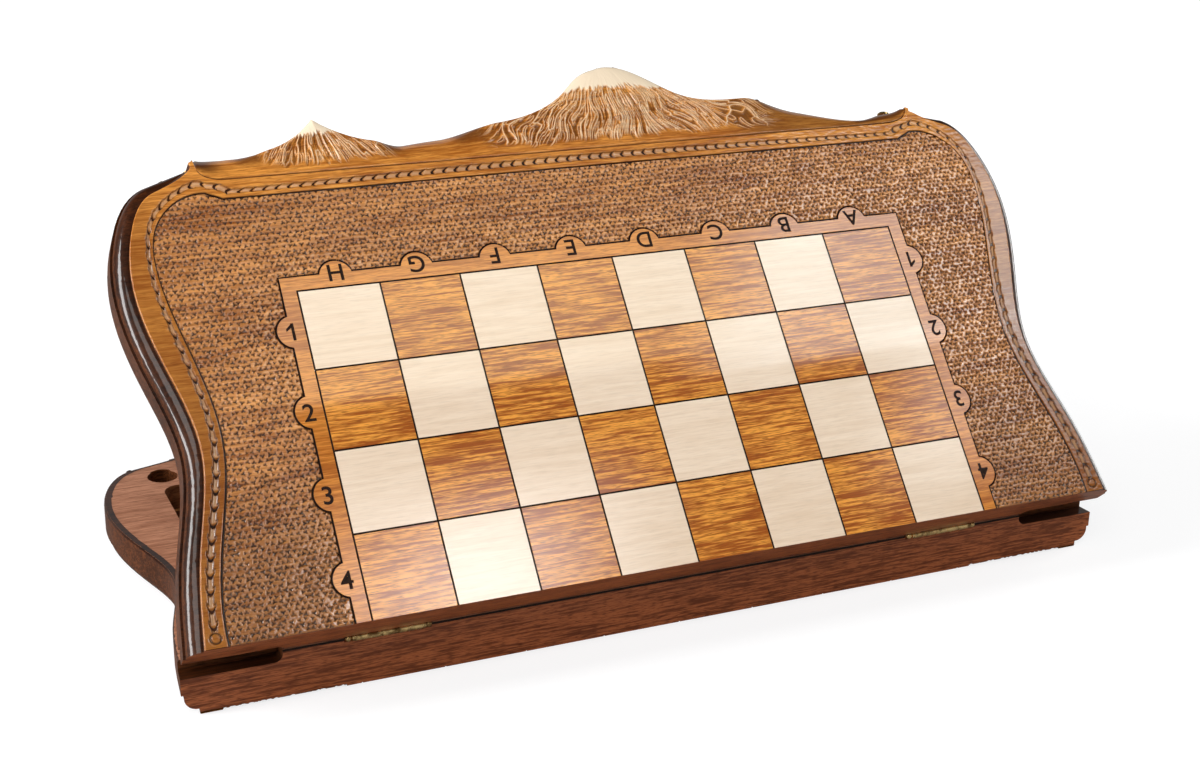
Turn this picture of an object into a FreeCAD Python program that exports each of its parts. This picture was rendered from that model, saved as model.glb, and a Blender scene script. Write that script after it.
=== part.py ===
import FreeCAD, Part
import math
import os
from FreeCAD import Vector

os.makedirs("parts", exist_ok=True)

# Folding chess and backgammon board: two carved wooden trays on a pair of butt hinges.
# One half is drawn lying on its chess face, hinge wall at y = 0, rim up. Lengths in mm, angles in degrees.

# Chess side
square = 50.0              # side of one chess square, the grid that the case outline is drawn on
files = 8                  # squares along the hinge
ranks = 4                  # squares on each half
frame_border = 9.0         # plain strip around the squares
tab_radius = 10.0          # half-round tabs that carry the file and rank marks
tab_sink = 2.2             # tab centre inside the strip's outer edge
ground_depth = 1.2         # sunk field between the strip and the outer border

# Case halves
half_thickness = 30.0      # chess face to rim
floor_thickness = 10.0     # wood left under the playing field
side_wall = 22.0           # wood beside the tray at the waist
hinge_wall = 16.0          # wood between the tray and the hinge wall face
crest_wall = 18.0          # wood between the tray and the crest line
tray_corner = 10.0         # tray corner radius in plan
well_diameter = 20.0       # dice well in each shoulder of the lower half
well_depth = 12.0
well_place_shares = (5.13, 5.25)
rebate_depth = 7.0         # corner rebates along the hinge edge, below the rim
rebate_reach = 10.0
rebate_round = 5.0

# Edge moulding, from the rim down to the chess face
band_step = 1.5            # the band next to the rim stands proud of the ovolo
ovolo_radius = 7.5
ovolo_rise = 2.0           # short upright between the quarter round and the band
quirk_step = 0.8           # the ovolo stands proud of the face edge
quirk_height = 3.5         # small upright below the face
rim_round = 1.5            # eased outer edge of the rim
edge_projection = band_step + ovolo_radius + quirk_step

# Case outline on the square grid: side from the hinge end, round the waist and bulge to the shoulder flat.
side_shares = ((6.07, -0.2), (5.90, 1.03), (5.653, 2.25), (5.85, 3.2),
               (6.036, 4.25), (5.91, 5.05), (5.48, 5.61))
side_start_shares = (-0.12, 1.0)
flat_end_shares = (4.2, 6.15)
ear_shares = (4.90, 5.855)
outline_top_share = 7.3
waist_shares = side_shares[2]

# Crest: carved line above the border, dips beside the ears, two peaks and the saddle between them.
crest_line_share = 5.265
scoop_line_share = 5.52
scoop_end_share = 4.35
scoop_ear_shares = (4.875, 5.78)
left_dip_shares = ((-4.88, 5.85), (-4.42, 5.885))
left_flank_shares = ((-4.42, 5.885), (-3.85, 5.94), (-3.30, 6.33))
saddle_shares = ((-3.30, 6.33), (-2.95, 6.06), (-2.60, 5.93), (-1.95, 5.98), (-0.60, 6.12),
                 (0.05, 6.44), (0.32, 6.68), (0.62, 6.81))
right_flank_shares = ((0.62, 6.81), (0.85, 6.84), (1.28, 6.61), (1.70, 6.28), (2.30, 6.15), (3.00, 6.12),
                      (3.70, 5.79), (4.10, 5.65), (4.48, 5.71))
right_dip_shares = ((4.48, 5.71), (4.88, 5.79))
small_peak_foot_shares = (-4.20, -2.35)
great_peak_foot_shares = (-1.40, 3.20)
small_crown_shares = left_flank_shares[1:] + saddle_shares[1:3]
great_crown_shares = saddle_shares[4:] + right_flank_shares[1:6]
peak_sink_share = 0.1
peak_spread_shares = (0.84, 1.12)
scoop_angle = 40.0         # slope of the scooped edge between the peaks
peak_lean_angle = 12.0     # the carved peaks lean back by this much
ear_width = 1.5            # blunt end of an ear tip
ear_reach = 26.0           # the face flares to the tip over this length of the shoulder flat
ground_side_shares = ((5.56, -0.1), (5.45, 1.0), (5.19, 2.25), (5.33, 3.35),
                      (5.52, 4.3), (5.43, 5.0), (5.20, 5.25), (4.80, 5.35))
ground_cusp_share = 4.63   # the sunk field's corner turns back to the carved line here

# Playing field inside each tray
field_thickness = 3.0
field_clearance = 0.2
inlay_thickness = 1.0
points_per_end = 6
point_length = 205.0
point_width_share = 0.84

# Butt hinges
hinge_place_share = 3.68
leaf_length = 41.0
leaf_width = 12.5
leaf_thickness = 1.2
leaf_fit = 0.1             # gain around a leaf
barrel_diameter = 4.6
knuckles = 5
knuckle_gap = 0.2
pin_diameter = 2.2
pin_clearance = 0.05
finial_diameter = 4.2
finial_collar = 1.0
axis_standoff = 0.4        # hinge axis outside the hinge walls
parting_gap = 0.4          # between the closed rims
running_gap = 0.3          # between parts that pass each other
leaf_screws = 3
leaf_screw_pitch = 14.0
leaf_screw_diameter = 2.4
leaf_screw_head = 4.8
leaf_screw_length = 9.0
screw_point = 2.0
head_sink = 0.1            # countersunk heads lie below the leaf

# Swing hooks on the shoulder flats
hook_thickness = 1.4
hook_eye_radius = 4.0
hook_arm_width = 4.6
hook_nose_radius = 4.4
hook_gap = 0.3             # hook to wood and hook to screw head
hook_pivot_place = 15.0    # pivot from the ear tip along the shoulder flat
catch_place = 30.0         # catch pin from the ear tip
latch_height = 4.5         # pivot and catch from their rims
hook_screw_diameter = 3.2
hook_screw_clearance = 0.08
hook_screw_head = 5.6
hook_screw_head_height = 1.4
catch_diameter = 3.6
catch_head = 5.2
catch_head_height = 2.0
catch_neck = 4.0           # bare neck between the wood and the catch pin's head
latch_screw_length = 14.0

lid_angle = 48.0           # opening of the lid as it stands
overrun = 2.0              # cutting shapes run past the wood by this
match_tolerance = 0.05     # edges this close are the same edge

axis_height = half_thickness + parting_gap / 2
hinge_edge_y = -ranks * square / 2
up = Vector(0, 0, 1)


def grid(share_pair, height=0.0):
    return Vector(share_pair[0] * square, share_pair[1] * square, height)


def line(start, end):
    return Part.LineSegment(start, end).toShape()


def spline(points, start_tangent=None, end_tangent=None):
    curve = Part.BSplineCurve()
    if start_tangent is None:
        curve.interpolate(Points=points)
    else:
        curve.interpolate(Points=points, InitialTangent=start_tangent, FinalTangent=end_tangent)
    return curve


def prism(edges, bottom, top):
    face = Part.Face(Part.Wire(edges))
    face.translate(Vector(0, 0, bottom))
    return face.extrude(Vector(0, 0, top - bottom))


def polygon_prism(points, bottom, top):
    return prism(Part.makePolygon(points + points[:1]).Edges, bottom, top)


def mirrored_x(shape):
    return shape.mirror(Vector(0, 0, 0), Vector(1, 0, 0))


def box_between(low, high):
    return Part.makeBox(high.x - low.x, high.y - low.y, high.z - low.z, low)


def cylinder_x(radius, start, end, y, z):
    return Part.makeCylinder(radius, end - start, Vector(start, y, z), Vector(1, 0, 0))


def rounded_plate(low, high, corner):
    plate = box_between(low, high)
    uprights = []
    for edge in plate.Edges:
        box = edge.BoundBox
        if box.ZLength > box.XLength + box.YLength:
            uprights.append(edge)
    return plate.makeFillet(corner, uprights)


# Outline of a half

flat_direction = (grid(flat_end_shares) - grid(side_shares[-1])).normalize()
flat_normal = Vector(flat_direction.y, -flat_direction.x, 0)
side_curve = spline([grid(pair) for pair in side_shares], Vector(*side_start_shares, 0) * square,
                    flat_direction * square)


def side_points(inset):
    moved = []
    for pair in side_shares:
        point = grid(pair)
        tangent = side_curve.tangent(side_curve.parameter(point))[0]
        moved.append(point - Vector(tangent.y, -tangent.x, 0) * inset)
    return moved


def flipped(point):
    return Vector(-point.x, point.y, point.z)


def outline_edges(inset):
    right = side_points(inset)
    left = [flipped(point) for point in right]
    tangent_start = side_curve.tangent(side_curve.FirstParameter)[0] * square
    tangent_end = flat_direction * square
    shoulder = grid(flat_end_shares) - flat_normal * inset
    top_right = Vector(shoulder.x, outline_top_share * square, 0)
    left_curve = spline(left, flipped(tangent_start), flipped(tangent_end))
    return [line(left[0], right[0]), spline(right, tangent_start, tangent_end).toShape(),
            line(right[-1], shoulder), line(shoulder, top_right), line(top_right, flipped(top_right)),
            line(flipped(top_right), flipped(shoulder)), line(flipped(shoulder), left[-1]),
            left_curve.toShape()]


def on_side(edge, inset, height):
    # True for the curved side and shoulder edges of an outline prism at one level.
    middle = edge.valueAt((edge.FirstParameter + edge.LastParameter) / 2)
    if abs(middle.z - height) > match_tolerance:
        return False
    probe = Part.Vertex(middle.x, middle.y, 0)
    sides = [side for side in outline_edges(inset) if abs(side.CenterOfMass.x) > square]
    return any(probe.distToShape(side)[0] < match_tolerance for side in sides)


def crest_edges():
    reach = outline_top_share * square
    ear = grid(ear_shares)
    above = Vector(ear.x, reach, 0)
    corner = Vector(reach, reach, 0)
    foot = Vector(reach, 0, 0)
    flank_left = spline([grid(pair) for pair in left_flank_shares])
    saddle = spline([grid(pair) for pair in saddle_shares])
    flank_right = spline([grid(pair) for pair in right_flank_shares])
    dip_left = line(grid(left_dip_shares[0]), grid(left_dip_shares[1]))
    dip_right = line(grid(right_dip_shares[0]), grid(right_dip_shares[1]))
    return [line(flipped(foot), foot), line(foot, corner), line(corner, above),
            line(above, grid(right_dip_shares[1])), dip_right, flank_right.toShape(), saddle.toShape(),
            flank_left.toShape(), dip_left,
            line(grid(left_dip_shares[0]), flipped(above)), line(flipped(above), flipped(corner)),
            line(flipped(corner), flipped(foot))]


def ear_block():
    # The face flares through the moulding to the ear tip in a hollow curve.
    heel = ear_tip + along * ear_width
    toe = ear_tip + along * ear_reach - flat_normal * edge_projection
    crown = ear_tip - along * overrun
    root = crown - flat_normal * 2 * edge_projection
    hollow = spline([heel, toe], -flat_normal * ear_reach, along * ear_reach)
    return prism([line(crown, heel), hollow.toShape(), line(toe, root), line(root, crown)], 0, half_thickness)


def blank():
    ovolo_top = quirk_height + ovolo_radius + ovolo_rise
    band = prism(outline_edges(0), ovolo_top, half_thickness)
    rim_edges = [edge for edge in band.Edges if on_side(edge, 0, half_thickness)]
    band = band.makeFillet(rim_round, rim_edges)
    ovolo = prism(outline_edges(band_step), quirk_height, ovolo_top)
    ovolo_edges = [edge for edge in ovolo.Edges if on_side(edge, band_step, quirk_height)]
    ovolo = ovolo.makeFillet(ovolo_radius, ovolo_edges)
    plateau = prism(outline_edges(edge_projection), 0, quirk_height)
    crest = prism(crest_edges(), 0, half_thickness)
    ear = ear_block()
    return band.fuse([ovolo, plateau, ear, mirrored_x(ear)]).common(crest).removeSplitter()


def wedge_along_x(start, end, foot_y, angle):
    rise = (outline_top_share * square - foot_y) * math.tan(math.radians(angle))
    far = outline_top_share * square
    section = Part.makePolygon([Vector(start, foot_y, 0), Vector(start, far, 0), Vector(start, far, rise),
                                Vector(start, foot_y, 0)])
    return Part.Face(section).extrude(Vector(end - start, 0, 0))


def peak_block(foot_shares, crown_shares):
    # A spur along the crest line, narrow at the face and wide at the rim, so that its flanks slope.
    foot_y = (scoop_line_share - peak_sink_share) * square
    left, right = [Vector(share * square, foot_y, 0) for share in foot_shares]
    middle = (left + right) / 2
    crown = [grid(pair) + Vector(0, peak_sink_share * square, 0) for pair in crown_shares]
    corners = [left, right] + crown[::-1]
    wires = []
    for spread, height in zip(peak_spread_shares, (0, half_thickness)):
        points = [middle + (corner - middle) * spread + up * height for corner in corners]
        wires.append(Part.makePolygon(points + points[:1]))
    return Part.makeLoft(wires, True, True)


def scoop_plan():
    # Plan of the scooped strip: along the carved line, then up into both ears.
    foot = scoop_line_share * square
    right = Vector(scoop_end_share * square, foot, 0)
    ear = grid(scoop_ear_shares)
    above = Vector(ear.x, outline_top_share * square, 0)
    along_line = Vector(square, 0, 0)
    rise = spline([right, ear], along_line, Vector(0, square, 0))
    fall = spline([flipped(right), flipped(ear)], -along_line, Vector(0, square, 0))
    edges = [line(flipped(right), right), rise.toShape(), line(ear, above), line(above, flipped(above)),
             line(flipped(above), flipped(ear)), fall.toShape()]
    return prism(edges, -overrun, half_thickness)


def carved_crest(case):
    foot_y = scoop_line_share * square
    reach = outline_top_share * square
    plan = scoop_plan()
    scoop = wedge_along_x(-reach, reach, foot_y, scoop_angle).common(plan)
    peaks = [peak_block(small_peak_foot_shares, small_crown_shares),
             peak_block(great_peak_foot_shares, great_crown_shares)]
    lean = wedge_along_x(-reach, reach, foot_y, peak_lean_angle).common(plan)
    return case.cut(scoop.cut(peaks)).cut(lean)


def chess_island(bottom, top):
    half_length = files * square / 2 + frame_border
    far = ranks * square + frame_border
    island = box_between(Vector(-half_length, -overrun, bottom), Vector(half_length, far, top))
    tabs = []
    for file in range(files):
        place = Vector((file + 0.5 - files / 2) * square, far - tab_sink, bottom)
        tabs.append(Part.makeCylinder(tab_radius, top - bottom, place))
    for rank in range(ranks):
        for side in (-1, 1):
            place = Vector(side * (half_length - tab_sink), (rank + 0.5) * square, bottom)
            tabs.append(Part.makeCylinder(tab_radius, top - bottom, place))
    return island.fuse(tabs)


def sunk_ground():
    side = [grid(pair) for pair in ground_side_shares]
    cusp = Vector(ground_cusp_share * square, crest_line_share * square, 0)
    right = [spline(side).toShape(), line(side[-1], cusp)]
    left = [spline([flipped(point) for point in side]).toShape(), line(flipped(side[-1]), flipped(cusp))]
    ground = prism([line(flipped(side[0]), side[0])] + right + [line(cusp, flipped(cusp))] + left[::-1],
                   -overrun, ground_depth)
    return ground.cut(chess_island(-overrun, ground_depth))


tray_half_length = grid(waist_shares).x - side_wall
tray_far = crest_line_share * square - crest_wall


def tray(clearance, bottom, top):
    low = Vector(-tray_half_length + clearance, hinge_wall + clearance, bottom)
    high = Vector(tray_half_length - clearance, tray_far - clearance, top)
    return rounded_plate(low, high, tray_corner - clearance)


def corner_rebate(side):
    start = ear_shares[0] * square
    end = outline_top_share * square
    low = Vector(start, -overrun - rebate_round, half_thickness - rebate_depth)
    high = Vector(end, rebate_reach, half_thickness + rebate_depth)
    rebate = box_between(low, high)
    inner = [edge for edge in rebate.Edges if edge.BoundBox.XMax < start + overrun
             and edge.BoundBox.ZMax < half_thickness]
    inner = [edge for edge in inner if edge.BoundBox.YLength > rebate_reach]
    rebate = rebate.makeFillet(rebate_round, inner)
    return rebate if side > 0 else mirrored_x(rebate)


# Hinge pieces, drawn for a half with its rim up

axis_y = -axis_standoff
barrel_radius = barrel_diameter / 2
bore_radius = pin_diameter / 2 + pin_clearance
knuckle_pitch = leaf_length / knuckles
finial_reach = leaf_length / 2 + knuckle_gap + finial_collar + finial_diameter


def knuckle_span(place, index):
    start = place - leaf_length / 2 + index * knuckle_pitch
    return start + knuckle_gap / 2, start + knuckle_pitch - knuckle_gap / 2


def leaf_screw_places(place):
    first = place - (leaf_screws - 1) * leaf_screw_pitch / 2
    y = (leaf_width + barrel_radius) / 2
    height = half_thickness - head_sink
    return [Vector(first + index * leaf_screw_pitch, y, height) for index in range(leaf_screws)]


def turned(profile, base, direction):
    # A body of revolution from (radius, height) pairs, stood on base along direction.
    points = [Vector(radius, 0, height) for radius, height in profile]
    face = Part.Face(Part.makePolygon(points + points[:1]))
    solid = face.revolve(Vector(0, 0, 0), up, 360)
    solid.Placement = FreeCAD.Placement(base, FreeCAD.Rotation(up, direction)).multiply(solid.Placement)
    return solid


def countersunk_screw(base):
    shank = leaf_screw_diameter / 2
    head = leaf_screw_head / 2
    profile = ((0, 0), (head, 0), (shank, head - shank), (shank, leaf_screw_length - screw_point),
               (0, leaf_screw_length))
    return turned(profile, base, -up)


def leaf(place, own):
    start = place - leaf_length / 2
    plate = box_between(Vector(start, axis_y, half_thickness - leaf_thickness),
                        Vector(start + leaf_length, leaf_width, half_thickness))
    rolls, notches = [], []
    for index in range(knuckles):
        low, high = knuckle_span(place, index)
        if index in own:
            rolls.append(cylinder_x(barrel_radius, low, high, axis_y, axis_height))
        else:
            notches.append(cylinder_x(barrel_radius + running_gap, low - knuckle_gap, high + knuckle_gap,
                                      axis_y, axis_height))
    for roll_end in (start - overrun, start + leaf_length - knuckle_gap / 2):
        notch_end = roll_end + overrun + knuckle_gap / 2
        notches.append(cylinder_x(barrel_radius + running_gap, roll_end, notch_end, axis_y, axis_height))
    bore = cylinder_x(bore_radius, start - overrun, start + leaf_length + overrun, axis_y, axis_height)
    screws = [countersunk_screw(base) for base in leaf_screw_places(place)]
    return plate.cut(notches).fuse(rolls).cut([bore] + screws).removeSplitter()


def hinge_pin(place):
    reach = leaf_length / 2 + knuckle_gap
    radius = finial_diameter / 2
    shaft = cylinder_x(pin_diameter / 2, place - reach, place + reach, axis_y, axis_height)
    ends = []
    for side in (-1, 1):
        foot = Vector(place + side * reach, axis_y, axis_height)
        outward = Vector(side, 0, 0)
        collar = Part.makeCylinder(radius, finial_collar, foot, outward)
        ball = Part.makeSphere(radius, foot + outward * (finial_collar + radius - head_sink))
        ends += [collar, ball]
    return shaft.fuse(ends).removeSplitter()


def hinge_gain(place):
    start = place - leaf_length / 2 - leaf_fit
    low = Vector(start, -overrun, half_thickness - leaf_thickness)
    high = Vector(start + leaf_length + 2 * leaf_fit, leaf_width + leaf_fit, half_thickness + overrun)
    radius = barrel_radius + running_gap
    groove = cylinder_x(radius, place - finial_reach, place + finial_reach, axis_y, axis_height)
    return box_between(low, high).fuse(groove)


# Swing hooks, drawn on the right-hand shoulder flat of the closed case

along = -flat_direction
ear_tip = grid(ear_shares)


def flat_point(place, height, proud=0.0):
    return ear_tip + along * place + flat_normal * proud + up * height


hook_pivot = flat_point(hook_pivot_place, 2 * axis_height - half_thickness + latch_height)
catch_point = flat_point(catch_place, half_thickness - latch_height)
hook_reach = (catch_point - hook_pivot).Length
hook_direction = (catch_point - hook_pivot).normalize()
hook_cross = flat_normal.cross(hook_direction)
hook_swing = math.degrees(hook_direction.getAngle(-along))


def hook_plate(centre_place, radius):
    base = hook_pivot + hook_direction * centre_place + flat_normal * hook_gap
    return Part.makeCylinder(radius, hook_thickness, base, flat_normal)


def hook_bar(start, end, low, high):
    base = hook_pivot + flat_normal * hook_gap
    corners = [(start, low), (end, low), (end, high), (start, high), (start, low)]
    points = [base + hook_direction * reach + hook_cross * across for reach, across in corners]
    wire = Part.makePolygon(points)
    return Part.Face(wire).extrude(flat_normal * hook_thickness)


def swing_hook():
    arm = hook_bar(0, hook_reach, -hook_arm_width / 2, hook_arm_width / 2)
    throat = catch_diameter / 2 + running_gap
    slot = hook_bar(hook_reach - throat, hook_reach + throat, -hook_nose_radius - overrun, 0)
    hook = arm.fuse([hook_plate(0, hook_eye_radius), hook_plate(hook_reach, hook_nose_radius)])
    eye = hook_plate(0, hook_screw_diameter / 2 + hook_screw_clearance)
    return hook.cut([slot, hook_plate(hook_reach, throat), eye]).removeSplitter()


def domed_screw(point, shank_diameter, head_diameter, head_height, neck):
    shank = shank_diameter / 2
    head = head_diameter / 2
    seat = latch_screw_length + neck
    profile = ((0, 0), (shank, screw_point), (shank, seat), (head, seat), (head, seat + head_height / 3),
               (head - head_height / 3, seat + head_height), (0, seat + head_height))
    return turned(profile, point - flat_normal * latch_screw_length, flat_normal)


def stowed(hook):
    turn = hook.copy()
    turn.rotate(hook_pivot, flat_normal, hook_swing)
    return turn


# Playing field and its inlaid points

field_top = floor_thickness + field_thickness
point_pitch = (tray_far - hinge_wall - 2 * field_clearance) / points_per_end


def point_inlay(side, index):
    base_x = tray_half_length - field_clearance
    middle = hinge_wall + field_clearance + (index + 0.5) * point_pitch
    half_width = point_pitch * point_width_share / 2
    points = [Vector(side * base_x, middle - half_width, 0), Vector(side * base_x, middle + half_width, 0),
              Vector(side * (base_x - point_length), middle, 0)]
    wedge = polygon_prism(points, field_top - inlay_thickness, field_top)
    return wedge.common(tray(field_clearance, floor_thickness, field_top))


def point_set(parity):
    return [point_inlay(side, index) for side in (-1, 1) for index in range(points_per_end)
            if (index + (side > 0)) % 2 == parity]


# Assembly

def over_lower(shape):
    placed = shape.copy()
    placed.translate(Vector(0, hinge_edge_y, 0))
    return placed


def as_lid(shape):
    # The closed lid's pieces, opened about the hinge axis.
    opened = shape.copy()
    opened.rotate(Vector(0, axis_y, axis_height), Vector(1, 0, 0), lid_angle)
    return over_lower(opened)


def overturned(shape):
    return shape.mirror(Vector(0, 0, axis_height), up)


pivot_neck = hook_gap + hook_thickness + hook_gap
pivot_screw = domed_screw(hook_pivot, hook_screw_diameter, hook_screw_head, hook_screw_head_height, pivot_neck)
catch_pin = domed_screw(catch_point, catch_diameter, catch_head, catch_head_height, catch_neck)
hinge_places = {"left": -hinge_place_share * square, "right": hinge_place_share * square}
upper_knuckles = range(0, knuckles, 2)
lower_knuckles = range(1, knuckles, 2)

half = carved_crest(blank()).cut(sunk_ground()).cut(tray(0, floor_thickness, half_thickness + overrun))
half = half.cut([corner_rebate(side) for side in (-1, 1)])
for place in hinge_places.values():
    half = half.cut([hinge_gain(place)] + [countersunk_screw(base) for base in leaf_screw_places(place)])

well = Part.makeCylinder(well_diameter / 2, well_depth + overrun,
                         grid(well_place_shares, half_thickness - well_depth))
lower_case = half.cut([well, mirrored_x(well), catch_pin, mirrored_x(catch_pin)])
upper_case = overturned(half).cut([pivot_screw, mirrored_x(pivot_screw)])

field_panel = tray(field_clearance, floor_thickness, field_top).cut(point_set(0) + point_set(1))
nodes = {"lower_case": over_lower(lower_case), "upper_case": as_lid(upper_case)}
for half_name, place_piece in (("lower", over_lower), ("upper", lambda shape: as_lid(overturned(shape)))):
    nodes[half_name + "_field"] = place_piece(field_panel)
    nodes[half_name + "_light_points"] = place_piece(Part.makeCompound(point_set(0)))
    nodes[half_name + "_dark_points"] = place_piece(Part.makeCompound(point_set(1)))
for side, place in hinge_places.items():
    screws = Part.makeCompound([countersunk_screw(base) for base in leaf_screw_places(place)])
    nodes[side + "_hinge_lower_leaf"] = over_lower(leaf(place, lower_knuckles))
    nodes[side + "_hinge_upper_leaf"] = as_lid(overturned(leaf(place, upper_knuckles)))
    nodes[side + "_hinge_pin"] = over_lower(hinge_pin(place))
    nodes[side + "_hinge_lower_screws"] = over_lower(screws)
    nodes[side + "_hinge_upper_screws"] = as_lid(overturned(screws))
for side, hand in (("left", mirrored_x), ("right", lambda shape: shape)):
    nodes[side + "_hook"] = as_lid(hand(stowed(swing_hook())))
    nodes[side + "_hook_screw"] = as_lid(hand(pivot_screw))
    nodes[side + "_catch_pin"] = over_lower(hand(catch_pin))

for name, shape in nodes.items():
    shape.exportStep("parts/" + name + ".step")

# Joint places for the record
lid_turn = FreeCAD.Rotation(Vector(1, 0, 0), lid_angle)
axis_point = Vector(0, axis_y, axis_height)
print("hinge axis", over_lower(Part.Vertex(axis_point)).Point)
for side, hand in (("left", flipped), ("right", Vector)):
    pivot = as_lid(Part.Vertex(hand(hook_pivot))).Point
    print(side, "hook pivot", pivot, "axis", lid_turn.multVec(hand(flat_normal)), "swing", hook_swing)
for name, shape in nodes.items():
    print(name, len(shape.Solids), shape.isValid(), round(shape.Volume), shape.BoundBox)
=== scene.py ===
import math
import bmesh
import bpy
import numpy as np
from mathutils import Matrix, Vector


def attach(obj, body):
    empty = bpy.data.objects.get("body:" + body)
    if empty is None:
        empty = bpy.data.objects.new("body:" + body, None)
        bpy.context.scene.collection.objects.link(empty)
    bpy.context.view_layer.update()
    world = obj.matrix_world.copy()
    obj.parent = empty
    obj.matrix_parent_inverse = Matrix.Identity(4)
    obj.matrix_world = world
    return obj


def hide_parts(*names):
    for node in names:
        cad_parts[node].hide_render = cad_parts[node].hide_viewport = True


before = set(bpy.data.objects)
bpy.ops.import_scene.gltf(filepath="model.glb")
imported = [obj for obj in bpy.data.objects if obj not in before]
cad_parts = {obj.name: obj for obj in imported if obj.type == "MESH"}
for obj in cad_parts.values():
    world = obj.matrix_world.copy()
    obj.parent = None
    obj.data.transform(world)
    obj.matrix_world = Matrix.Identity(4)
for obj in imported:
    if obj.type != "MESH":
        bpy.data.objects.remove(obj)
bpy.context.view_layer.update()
print("frame loaded:", len(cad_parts), "nodes")

# A half is worked in its own board frame: x along the hinge, y from the hinge wall to the crest,
# z out of the chess face. "place" takes that frame to where the half stands.
board = {
    "square": 0.05,
    "hingeEdge": -0.1,          # hinge wall plane of the lower half
    "axis": (-0.1004, 0.0302),  # y and z of the hinge pins
    "lidAngle": 48.0,
    "thickness": 0.03,
    "groundDepth": 0.0012,
    "strip": 0.009,             # plain strip around the squares
    "tabRadius": 0.010,
    "tabSink": 0.0022,
}
square = board["square"]
boardEdge = 4 * square
stripEdge = boardEdge + board["strip"]
groundLevel = -board["groundDepth"]
rimLevel = -board["thickness"]
tiny = {"cut": 1e-7, "same": 1e-6, "merge": 2e-6, "flat": 1e-5, "near": 1e-4}  # gaps that count as none

axisY, axisZ = board["axis"]
opened = Matrix.Rotation(math.radians(board["lidAngle"]), 4, "X")
lidPlace = (Matrix.Translation((0, axisY, axisZ)) @ opened
            @ Matrix.Translation((0, board["hingeEdge"] - axisY, axisZ)))
basePlace = Matrix.Translation((0, board["hingeEdge"], 0)) @ Matrix.Diagonal((1, 1, -1, 1))
halves = {
    "lid": {"body": "upper_half", "case": "upper_case", "prefix": "upper",
            "place": lidPlace, "detail": 1.0},
    "base": {"body": "lower_half", "case": "lower_case", "prefix": "lower",
             "place": basePlace, "detail": 0.5},
}


# Shader helpers

def addNode(tree, kind, inputs=None, **settings):
    made = tree.nodes.new("ShaderNode" + kind)
    for key, value in settings.items():
        setattr(made, key, value)
    for key, value in (inputs or {}).items():
        if isinstance(value, bpy.types.NodeSocket):
            tree.links.new(value, made.inputs[key])
        else:
            made.inputs[key].default_value = value
    return made


def emptyTree(owner):
    owner.use_nodes = True
    owner.node_tree.nodes.clear()
    return owner.node_tree


def newMaterial(name):
    material = bpy.data.materials.new(name)
    return material, emptyTree(material)


def closeTree(tree, shader, kind="Material"):
    tree.links.new(shader.outputs[0], addNode(tree, "Output" + kind).inputs[0])


def objectCoordinates(tree):
    return addNode(tree, "TexCoord").outputs["Object"]


def stretched(tree, vector, scale):
    return addNode(tree, "Mapping", {"Vector": vector, "Scale": scale}).outputs["Vector"]


def boardCoordinates(tree, place):
    # Object coordinates turned into the board frame of one half
    back = place.inverted()
    mirrored = back.determinant() < 0
    turn = (Matrix.Diagonal((1, 1, -1, 1)) @ back) if mirrored else back
    mapped = addNode(tree, "Mapping", {"Vector": objectCoordinates(tree), "Location": turn.to_translation(),
                                       "Rotation": turn.to_euler()}).outputs["Vector"]
    return stretched(tree, mapped, (1, 1, -1)) if mirrored else mapped


def noiseOf(tree, vector, scale, detail=2.0, roughness=0.5, distortion=0.0):
    return addNode(tree, "TexNoise", {"Vector": vector, "Scale": scale, "Detail": detail,
                                      "Roughness": roughness, "Distortion": distortion}).outputs["Fac"]


def ranged(tree, value, low, high, start=0.0, end=1.0):
    return addNode(tree, "MapRange", {"Value": value, "From Min": low, "From Max": high,
                                      "To Min": start, "To Max": end}).outputs["Result"]


def mixed(tree, factor, *colours):
    first, second = (colour if isinstance(colour, bpy.types.NodeSocket) else (*colour, 1.0)
                     for colour in colours)
    return addNode(tree, "Mix", {0: factor, 6: first, 7: second}, data_type="RGBA").outputs[2]


def sumOf(tree, first, second, operation="ADD"):
    return addNode(tree, "Math", {0: first, 1: second}, operation=operation).outputs[0]


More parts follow.
